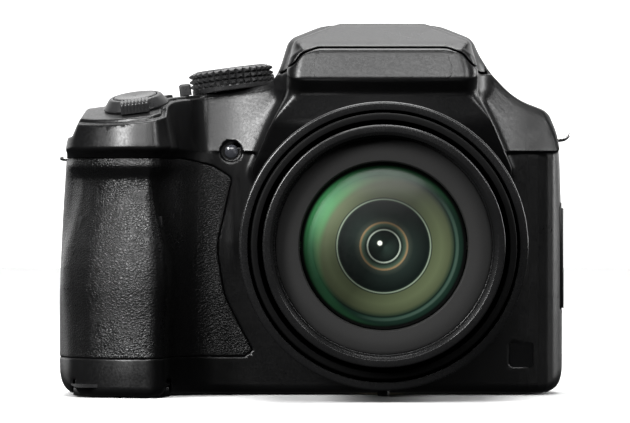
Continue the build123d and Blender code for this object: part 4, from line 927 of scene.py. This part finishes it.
def painted_green_reflection(look, r, light_lobe):
    # Painted reflection: a green crescent near the rim, strongest towards the upper left, where a lamp shows
    # in the coated glass.
    shifted = lens_axis_radius(look, *GREEN_REFLECTION_OFFSET)[0]
    crescent = band(look, shifted, r, (17.6, 19.4), (19.4, 20.3))
    strength = look.math("MULTIPLY_ADD", look.math("POWER", light_lobe, 1.6), 0.8, 0.07)
    swirl = look.spread(look.noise(120, 3, 0.5), 0.75, 1.1, 0.3, 0.7)
    return look.times(look.times(crescent, strength), swirl, clamp=True)


def front_glass_paint(name):
    """Painted inner elements, painted reflections of the coating and on the lens edges, and a painted
    highlight, laid out about the lens axis; the paint also glows.
    """
    look = Look(name)
    r, x, z = lens_axis_radius(look)
    base = look.ramp(look.math("DIVIDE", r, GLASS_R, clamp=True), GLASS_STOPS)
    # Painted light: the glass is brightened towards the upper left, where the lamps light it, and also
    # towards the lower right.
    upper_left = look.plus(look.times(x, -0.82), look.times(z, 0.57))
    cosine = look.math("DIVIDE", upper_left, look.plus(r, 0.4))
    light_lobe = look.math("POWER", look.math("MAXIMUM", cosine, 0.0), 5.0)
    lower_right_light = look.math("MAXIMUM", look.times(cosine, -1.0), 0.0)
    level = look.math("MULTIPLY_ADD", light_lobe, 1.6, 0.62)
    level = look.plus(level, look.times(lower_right_light, 1.5))
    base = look.mix(1.0, base, look.mix(level, (0, 0, 0), (1, 1, 1)), "MULTIPLY")
    base = look.mix(painted_green_reflection(look, r, light_lobe), base, GREEN_REFLECTION)
    # Painted reflection: a teal arc towards the lower right.
    teal_reflection = look.times(band(look, r, r, (17.8, 18.2), (18.5, 18.9)),
                      look.spread(cosine, 0.8, 0.0, -0.9, -0.2))
    base = look.mix(teal_reflection, base, TEAL_REFLECTION)
    # Painted highlight: a bright spot just off the lens axis.
    spot = look.spread(lens_axis_radius(look, *SPOT_HIGHLIGHT_OFFSET)[0], 1.0, 0.0, 0.25, 0.85, smooth=True)
    base = look.mix(spot, base, SPOT_HIGHLIGHT)
    look.paint(look.mix(0.35, (0, 0, 0), base))
    # Painted light: the glass glows with its painted colours, and most in the painted highlight, though it
    # is no lamp.
    look.link(base, look.shader.inputs["Emission Color"])
    look.link(look.spread(spot, 0.30, 1.6), look.shader.inputs["Emission Strength"])
    look.set(Specular_IOR_Level=0.2, Coat_Weight=0.25, Coat_Roughness=0.18, Coat_IOR=1.35)
    look.rough(look.uneven(look.noise(900, 2, 0.5), 0.33, 0.03))
    look.bump(look.noise(30, 2, 0.5), 0.02, 0.0002)
    return look.material


def clear(name, tint, rough=0.04):
    look = Look(name)
    smear = look.noise(150, 4, 0.6)
    look.set(Transmission_Weight=1.0, IOR=1.5)
    look.paint(look.clouded(smear, tint, 0.92, 1.0))
    look.rough(look.spread(smear, rough, rough + 0.05, 0.4, 0.8))
    look.bump(smear, 0.01, 0.0001)
    return look.material


def dark_glass(name, colour, rough=0.05):
    look = Look(name)
    smear = look.noise(60, 5, 0.7)
    look.paint(look.clouded(smear, colour, 1.0, 1.5))
    look.rough(look.spread(smear, rough, rough + 0.08, 0.45, 0.75))
    look.set(Coat_Weight=0.6, Coat_Roughness=0.02)
    look.bump(look.noise(25, 2, 0.5), 0.015, 0.0003)
    return look.material


def board(name, colour):
    look = Look(name)
    tracks = look.cells(420, "F1")
    lines = look.spread(look.math("SINE", look.times(tracks, 40.0)), 0.0, 1.0, 0.4, 0.7)
    look.paint(look.mix(lines, colour, tone(colour, 1.9)))
    look.rough(look.spread(lines, 0.34, 0.5))
    look.bump(lines, 0.2, 0.00005)
    return look.material


BLACK = (0.0035, 0.0035, 0.0037)
looks = {
    "body_plastic": plastic("textured_black_plastic", BLACK, 0.34, wear=0.15, spread=0.03),
    "dark_plastic": plastic("satin_black_plastic", (0.02, 0.02, 0.0206), 0.31, grain=2600, strength=0.15),
    "gloss_black": plastic("polished_black_plastic", (0.006, 0.006, 0.0063), 0.20, grain=3200, strength=0.06,
                           wear=0.3, spread=0.04),
    "grip_leatherette": leatherette("black_leatherette_painted_creases", (0.0045, 0.0045, 0.0047)),
    "barrel_metal": barrel_satin("black_satin_barrel", (0.0070, 0.0070, 0.0072), 0.24),
    "barrel_matt": barrel_satin("black_matt_barrel", (0.0025, 0.0025, 0.0026), 0.50, 0.10),
    "shroud_satin": barrel_satin("dark_grey_barrel", (0.0075, 0.0075, 0.0078), 0.24),
    "ring_grey": name_ring_with_painted_shade("matt_name_ring_painted_shade", (0.012, 0.0119, 0.0117)),
    "coated_glass": front_glass_paint("coated_front_glass_painted_light"),
    "clear_glass": clear("clear_lens_glass", (0.86, 0.92, 0.88)),
    "window_clear": clear("ribbed_flash_window", (0.93, 0.94, 0.95), 0.12),
    "screen_glass": dark_glass("screen_glass", (0.006, 0.0062, 0.0068)),
    "steel": metal("brushed_steel", (0.62, 0.61, 0.60), 0.26, brushed=(1, 0.08, 1)),
    "stamped_metal": metal("stamped_metal", (0.50, 0.51, 0.52), 0.38),
    "board_green": board("circuit_board", (0.018, 0.075, 0.035)),
    "cell_grey": plastic("battery_label", (0.075, 0.078, 0.085), 0.42, strength=0.1),
    "card_blue": plastic("card_plastic", (0.018, 0.045, 0.13), 0.38, strength=0.1),
    "rubber_black": rubber("soft_black_rubber", (0.014, 0.014, 0.0145)),
    "lamp_amber": dark_glass("lamp_lens", (0.045, 0.047, 0.055), 0.16),
    "brass_thread": metal("brass_thread", (0.66, 0.52, 0.30), 0.32),
    "white_paint": plastic("white_paint", (0.62, 0.62, 0.60), 0.5, strength=0.1),
}


def dress(node):
    """Gives a CAD node that stays as it is its own procedural finish."""
    piece = nodes[node]
    if not piece.data.materials:
        piece.data.materials.append(None)
    for slot in piece.material_slots:
        slot.material = looks[slot_of[node]]


def shell(node, room, field, suffix="_shell"):
    piece = surface(node + suffix, room, field, node)
    piece.data.materials.append(looks[slot_of[node]])


# Shells of the body
shell("front_case", ROOM, front_case())
shell("rear_case", ROOM, rear_case())
shell("top_case", ROOM, top_case())
shell("flash_cap", *flash_cap())
shell("front_plate", *front_plate())
shell("grip_skin", *grip_skin(), suffix="_cover")

# Lens, turned about its axis: heights along the axis are distances ahead of the origin
SHROUD_NOSE = 78.0
OUTER_NOSE = 80.0
INNER_NOSE = 84.5
MOUNT_FACE = 14.0

lathe("lens_shroud_tube",
      [(16, MOUNT_FACE), (36, MOUNT_FACE), (36, 21.2), (35.75, 21.4), (35.75, 22.0), (36, 22.2),
       (36, 70.4), (35.75, 70.6), (35.75, 71.2), (36, 71.4), (36, SHROUD_NOSE), (33.9, SHROUD_NOSE),
       (33.9, 16), (16, 16)],
      [0.2, 0.2] + [0.1] * 8 + [0.6, 0.18, 0.4, 0.2],
      LENS_PLACE, "lens_shroud", TURNS, "shroud_satin")
lathe("zoom_barrel_outer_tube",
      [(31.4, 19), (33.85, 19), (33.85, 23), (33.1, 23), (33.1, OUTER_NOSE), (31.4, OUTER_NOSE)],
      [0.1, 0.1, 0.2, 0.1, 0.45, 0.15],
      LENS_PLACE, "zoom_barrel_outer", TURNS, "barrel_matt")


def inner_barrel():
    threads = []
    for step in range(7):
        y = INNER_NOSE - 0.85 - 0.5 * step
        threads += [(27.5, y), (27.85, y - 0.18), (27.85, y - 0.26), (27.5, y - 0.44)]
    section = [(28.4, 23.5), (31.35, 23.5), (31.35, 27.5), (30.1, 27.5), (30.1, INNER_NOSE),
               (28.35, INNER_NOSE), (27.55, INNER_NOSE - 0.62)]
    radii = [0.1, 0.1, 0.2, 0.1, 0.4, 0.16, 0.05]
    section += threads + [(27.5, 80.5), (27.0, 80.5), (27.0, 78.7), (21.4, 78.7), (21.4, 72.6), (22.2, 72.6),
                          (22.2, 77.1), (28.4, 77.1)]
    radii += [0.03] * len(threads) + [0.05, 0.1, 0.05] + [0.1] * 5
    bm = turned(bmesh.new(), section, radii, TURNS, 3)
    finished("zoom_barrel_inner_tube", bm, LENS_PLACE, "zoom_barrel_inner")


inner_barrel()
lathe("name_ring_bare",
      [(20.9, 78.7), (26.95, 78.7), (26.95, 80.2), (26.2, 80.2), (21.3, 80.0), (20.9, 79.6)],
      [0.05, 0.05, 0.2, 0.6, 0.15, 0.1], LENS_PLACE, "name_ring", TURNS)


def front_glass():
    bulge, front, back = 62.0, 80.1, 74.5
    rings = [GLASS_R * k / 40 for k in range(41)]
    dome = [(r, front - (bulge - math.sqrt(bulge ** 2 - r ** 2))) for r in rings]
    section = dome + [(GLASS_R, back), (0.0, back)]
    finished("front_glass", turned(bmesh.new(), section, None, TURNS), LENS_PLACE, "front_lens")


front_glass()


# Knurled wheels and keys
def polar(r, turn, z):
    return (r * math.cos(turn), r * math.sin(turn), z)


def knurls(bm, tip_r, root_r, z0, z1, rows, count, tip=0.2):
    """Rows of small pyramids round a wheel."""
    levels = [z0 + (z1 - z0) * k / rows for k in range(rows + 1)]
    turns = [2 * math.pi * (k + 0.5) / count for k in range(count)]
    roots = [[bm.verts.new(polar(root_r, turn, z)) for turn in turns] for z in levels]
    half = (z1 - z0) / rows / 2
    for i in range(rows):
        for k in range(count):
            ring = [roots[i][k - 1], roots[i][k], roots[i + 1][k], roots[i + 1][k - 1]]
            turn = 2 * math.pi * k / count
            step = math.pi / count * tip
            z = levels[i] + half
            top = [bm.verts.new(polar(tip_r, turn + s * step, z + h * half * tip))
                   for s, h in ((-1, -1), (1, -1), (1, 1), (-1, 1))]
            for n in range(4):
                m = (n + 1) % 4
                bm.faces.new((ring[n], ring[m], top[m], top[n]))
            bm.faces.new(top)
    return bm


def mode_dial():
    bm = knurls(bmesh.new(), 11.0, 10.15, 1.5, 5.6, 3, 33, 0.32)
    turned(bm, [(0, 0.2), (10.5, 0.2), (10.6, 0.4), (10.6, 1.3), (10.2, 1.7), (0, 1.7)], None, 96)
    turned(bm, [(0, 1.6), (10.12, 1.6), (10.12, 5.45), (9.75, 5.8), (0, 5.8)],
           [0.1, 0.1, 0.05, 0.25, 0.1], 96)
    turned(bm, [(0, 5.7), (9.1, 5.7), (9.1, 6.0), (8.7, 6.0), (8.5, 5.88), (0, 5.88)],
           [0.1, 0.1, 0.12, 0.06, 0.06, 0.1], 96)
    turned(bm, [(0, -3.0), (2.5, -3.0), (2.5, 0.3), (0, 0.3)], None, 32)
    finished("mode_dial_knurled", bm, deck_place(DIAL_X, 0), "mode_dial", sharp=24)


def dial_numbers():
    """Plain numbers round the top of the mode dial."""
    bm = bmesh.new()
    for k in range(9):
        curve = bpy.data.curves.new("number", "FONT")
        curve.body = str(k + 1)
        curve.size = 2.3
        curve.align_x = "CENTER"
        curve.align_y = "CENTER"
        curve.extrude = 0.02
        holder = linked("number", curve)
        bpy.context.view_layer.update()
        mesh = bpy.data.meshes.new_from_object(holder)
        turn = Matrix.Rotation(2 * math.pi * k / 9, 4, "Z") @ Matrix.Translation((0, 6.7, 5.89))
        mesh.transform(turn)
        bm.from_mesh(mesh)
        bpy.data.objects.remove(holder)
        bpy.data.meshes.remove(mesh)
    finished("dial_numbers", bm, deck_place(DIAL_X, 0), "mode_dial", "white_paint", replaces=False)


def ribbed_lever():
    bm = turned(bmesh.new(), [(5.75, 0.2), (8.4, 0.2), (8.4, 0.65), (6.75, 2.85), (6.3, 3.0), (5.75, 2.95)],
                [0.1, 0.15, 0.3, 0.5, 0.25, 0.12], 128)
    path = rounded([(-10.15, 0.3), (-10.15, 2.75), (-9.3, 3.3), (-5.95, 3.3), (-5.95, 0.3)],
                   [0.1, 0.9, 0.9, 0.3, 0.1], 4)
    grooves, fine = 8, 6
    count = grooves * fine
    rows = []
    for i in range(count + 1):
        x = 7.2 * i / count - 3.6
        rise = 0.26 * abs(math.sin(math.pi * i / fine)) ** 0.7 - 0.2
        row = []
        for y, z in path:
            out = rise if z > 0.6 else 0.0
            row.append(bm.verts.new((x, y - out * (y < -9.0), z + out * (z > 3.0))))
        rows.append(row)
    bridge(bm, rows)
    bm.faces.new(rows[0])
    bm.faces.new(rows[-1][::-1])
    finished("zoom_lever_ribbed", bm, GRIP_PLACE, "zoom_lever", "dark_plastic", 40)


def dished_button():
    section = [(0, 3.0), (2.0, 3.03), (4.0, 3.13), (5.0, 3.18), (5.5, 3.02), (5.5, 1.5), (2.0, 1.5),
               (2.0, -4.0), (0, -4.0)]
    lathe("shutter_button_dished", section, [0.01, 3, 3, 0.5, 0.4, 0.2, 0.1, 0.1, 0.01], GRIP_PLACE,
          "shutter_button", 96)


def box_outline(w, d, r, x=0.0, y=0.0):
    corners = [(x + w * i / 2, y + d * j / 2) for i, j in ((-1, -1), (1, -1), (1, 1), (-1, 1))]
    return rounded(corners, [r] * 4, 6)


def sliding_switch():
    bm = slab(bmesh.new(), box_outline(1.6, 3.0, 0.3), -3.0, 0.4)
    slab(bm, box_outline(3.0, 6.0, 0.6), 0.2, 3.0, 0.35)
    for k in range(4):
        slab(bm, box_outline(2.4, 0.45, 0.2, 0, 0.95 * k - 1.42), 2.8, 3.2, 0.15)
    finished("power_switch_ribbed", bm, deck_place(-50.6, -9), "power_switch")


def round_key(node, matrix, r, rise=1.0):
    section = [(0, rise - 0.1), (r * 0.55, rise - 0.06), (r - 0.2, rise), (r, rise - 0.25), (r, -2.2),
               (r + 0.8, -2.2), (r + 0.8, -2.9), (0, -2.9)]
    lathe(node + "_dished", section, [0.01, 2, 0.3, 0.2, 0.1, 0.1, 0.1, 0.01], matrix, node, 64)


def cursor_ring():
    bm = turned(bmesh.new(), [(4.4, -2.9), (10.8, -2.9), (10.8, -2.2), (10.0, -2.2), (10.0, 0.6), (9.4, 1.0),
                              (6.6, 0.72), (4.8, 1.0), (4.4, 0.7)],
                [0.1, 0.1, 0.1, 0.1, 0.3, 0.4, 6, 0.3, 0.2], 96)
    for k in range(4):
        turn = Matrix.Rotation(QUARTER * k, 4, "Z") @ Matrix.Translation((0, 7.4, 0))
        bump = bmesh.new()
        turned(bump, [(0, 0.7), (0.7, 0.7), (0.5, 0.98), (0, 1.04)], None, 20)
        bump.transform(turn)
        mesh = bpy.data.meshes.new("mark")
        bump.to_mesh(mesh)
        bump.free()
        bm.from_mesh(mesh)
        bpy.data.meshes.remove(mesh)
    finished("cursor_pad_dished", bm, rear_place(PAD_X, PAD_Z), "cursor_pad")


def notched_wheels():
    bm = knurls(bmesh.new(), 9.0, 8.55, 0.35, 3.05, 1, 32)
    turned(bm, [(1.5, 0), (8.3, 0), (8.6, 0.35), (8.6, 3.05), (8.3, 3.4), (1.5, 3.4)], None, 64)
    finished("thumb_dial_notched", bm, place((THUMB_X, THUMB_Y, 68.8)), "thumb_dial", sharp=24)
    bm = knurls(bmesh.new(), 4.0, 3.7, 0.3, 2.7, 1, 24)
    turned(bm, [(0, 0), (3.5, 0), (3.75, 0.3), (3.75, 2.7), (3.5, 3.0), (0, 3.0)], None, 48)
    turned(bm, [(0, -1.4), (0.8, -1.4), (0.8, 4.4), (0, 4.4)], None, 20)
    finished("diopter_dial_notched", bm, place((18.5, DIOPTER_Y, DIOPTER_Z), 0, QUARTER), "diopter_dial",
             sharp=24)


def lamp():
    dome = [(1.7 * k / 10, 10.8 + math.sqrt(9 - (1.7 * k / 10) ** 2)) for k in range(11)]
    bm = turned(bmesh.new(), dome + [(1.7, 13.0), (0, 13.0)], None, 48)
    finished("lamp_dome", bm, place(LAMP, QUARTER), "af_lamp")


def strap_loops():
    """Two bent steel loops, one on each side of the body."""
    for side, x, z, rise, reach in ((-1, -81.3, 60.9, 0.1, 1.9), (1, 46.8, 65.7, 1.5, 2.35)):
        flat = [(x - side * 2, -2.2), (x + side * reach, -2.2), (x + side * reach, 7.2), (x - side * 2, 7.2)]
        ring = rounded(flat, [0.01, 1.6, 1.6, 0.01], 6)
        spots = [Vector((px, py, z + rise * (max(0.0, side * (px - x)) / reach) ** 2))
                 for px, py in ring[8:-8]]
        spots = [Vector((ring[0][0], ring[0][1], z))] + spots + [Vector((ring[-1][0], ring[-1][1], z))]
        bm = bmesh.new()
        rows = []
        for k, spot in enumerate(spots):
            along = (spots[min(k + 1, len(spots) - 1)] - spots[max(k - 1, 0)]).normalized()
            across = along.cross(Vector((0, 0, 1))).normalized()
            up = across.cross(along)
            rows.append([bm.verts.new(spot + across * 0.62 * math.cos(a) + up * 0.62 * math.sin(a))
                         for a in (2 * math.pi * n / 12 for n in range(12))])
        bridge(bm, rows)
        bm.faces.new(rows[0])
        bm.faces.new(rows[-1])
        name = "strap_loop_left" if side < 0 else "strap_loop_right"
        finished(name, bm, HERE, "strap_lugs", sharp=50)


def threaded_socket():
    threads = []
    for step in range(6):
        z = 0.9 + 0.72 * step
        threads += [(3.175, z), (3.6, z + 0.36)]
    section = [(6.0, 0.0), (6.0, 7.0), (0, 7.0), (0, 5.5), (3.175, 5.5)]
    section += threads[::-1] + [(3.175, 0.6), (3.5, 0.0)]
    lathe("tripod_socket_threaded", section, [0.15] + [0.05] * (len(section) - 1), HERE, "tripod_socket", 96,
          sharp=25)


def badge():
    bm = slab(bmesh.new(), box_outline(6.3, 6.3, 0.8), -0.5, -0.12)
    outer = box_outline(6.3, 6.3, 0.8)
    inner = box_outline(5.6, 5.6, 0.6)
    rings = []
    for ring, z in ((outer, -0.4), (outer, -0.04), (inner, -0.04), (inner, -0.2)):
        rings.append([bm.verts.new((x, y, z)) for x, y in ring])
    bridge(bm, rings)
    finished("badge_plate_bare", bm, place((36.5, FRONT_Y, 10), QUARTER), "badge_plate")


mode_dial()
dial_numbers()
ribbed_lever()
dished_button()
sliding_switch()
for node, (x, y, r, rise) in DECK_KEYS.items():
    round_key(node, deck_place(x, y), r, rise)
for node, (x, z, r) in {**HIGH_KEYS, **LOW_KEYS}.items():
    round_key(node, rear_place(x, z), r)
round_key("set_button", rear_place(PAD_X, PAD_Z), 4.2, 1.2)
cursor_ring()
notched_wheels()
lamp()
strap_loops()
threaded_socket()
badge()
for node, width in (("battery_door", 0.2), ("door_latch", 0.12), ("terminal_cover", 0.25), ("feet", 0.25),
                    ("eyecup", 0.9), ("lcd_window", 0.2), ("eyepiece_lens", 0.3), ("base_screws", 0.1)):
    softened(node, width)
for node, piece in nodes.items():
    if not piece.hide_render:
        dress(node)


# Camera, floor and lights
camera = linked("camera", bpy.data.cameras.new("camera"))
camera.location = (-0.0171, -1.6, 0.0471)
camera.rotation_euler = (QUARTER, 0, 0)
camera.data.sensor_width = 36.0
camera.data.lens = 349.7
camera.data.clip_start = 0.05
camera.data.clip_end = 30.0
scene.camera = camera


def studio_sheet(name, profile):
    """A wide sheet of backdrop paper with the given side profile."""
    mesh = bpy.data.meshes.new(name)
    bm = bmesh.new()
    rows = [[bm.verts.new((x, y, z)) for x in (-6.0, 6.0)] for y, z in profile]
    for one, two in zip(rows, rows[1:]):
        bm.faces.new((one[0], one[1], two[1], two[0]))
    bm.to_mesh(mesh)
    bm.free()
    mesh.shade_smooth()
    sheet = linked(name, mesh)
    return sheet


FLOOR_Z = -0.0005
BEND_Y = 3.6
BEND_R = 0.6
floor = studio_sheet("studio_floor", [(-6.0, FLOOR_Z), (BEND_Y, FLOOR_Z)])
bend = [(BEND_Y + BEND_R * math.sin(a), FLOOR_Z + BEND_R * (1 - math.cos(a)))
        for a in np.linspace(0, QUARTER, 17)]
backdrop = studio_sheet("studio_backdrop", bend + [(BEND_Y + BEND_R, 4.0)])
# The floor gives the black object no reflection and no bounced light
floor.visible_glossy = False
floor.visible_diffuse = False


def stage_paint(name, glow=0.0):
    look = Look(name)
    cloud = look.noise(1.5, 3, 0.5)
    look.paint(look.clouded(cloud, PAPER, 0.985, 1.0))
    look.rough(look.spread(cloud, 0.75, 0.85))
    look.set(Emission_Color=(1, 1, 1, 1), Emission_Strength=glow)
    return look.material


PAPER = (0.93, 0.93, 0.93)
floor.data.materials.append(stage_paint("pale_studio_paper"))
backdrop.data.materials.append(stage_paint("lit_backdrop_paper", 0.8))


def area_light(name, spot, aim, size, size_y, power):
    data = bpy.data.lights.new(name, "AREA")
    data.shape = "RECTANGLE"
    data.size = size
    data.size_y = size_y
    data.energy = power
    light = linked(name, data)
    light.location = spot
    light.rotation_euler = (Vector(aim) - Vector(spot)).to_track_quat("-Z", "Y").to_euler()


area_light("softbox_left", (-0.74, -0.88, 0.60), (-0.03, -0.03, 0.05), 0.36, 0.55, 20)
area_light("softbox_front", (0.0, -1.05, 0.72), (0.0, -0.03, 0.06), 0.8, 0.34, 7)
area_light("softbox_right", (0.78, -0.82, 0.66), (0.02, -0.02, 0.05), 0.34, 0.34, 4.5)
area_light("rim_right", (0.95, 0.36, 0.28), (0.03, 0.0, 0.05), 0.2, 0.5, 3.5)
area_light("softbox_top", (0.0, 0.1, 1.2), (0, 0.0, 0.0), 0.8, 0.6, 17)
area_light("backdrop_light", (0.0, 2.0, 2.4), (0, 2.6, 0.0), 4.0, 1.4, 60)
world = bpy.data.worlds.new("studio")
world.use_nodes = True
world.node_tree.nodes["Background"].inputs["Color"].default_value = (0.9, 0.92, 0.95, 1)
world.node_tree.nodes["Background"].inputs["Strength"].default_value = 0.025
scene.world = world
scene.view_settings.view_transform = "Standard"
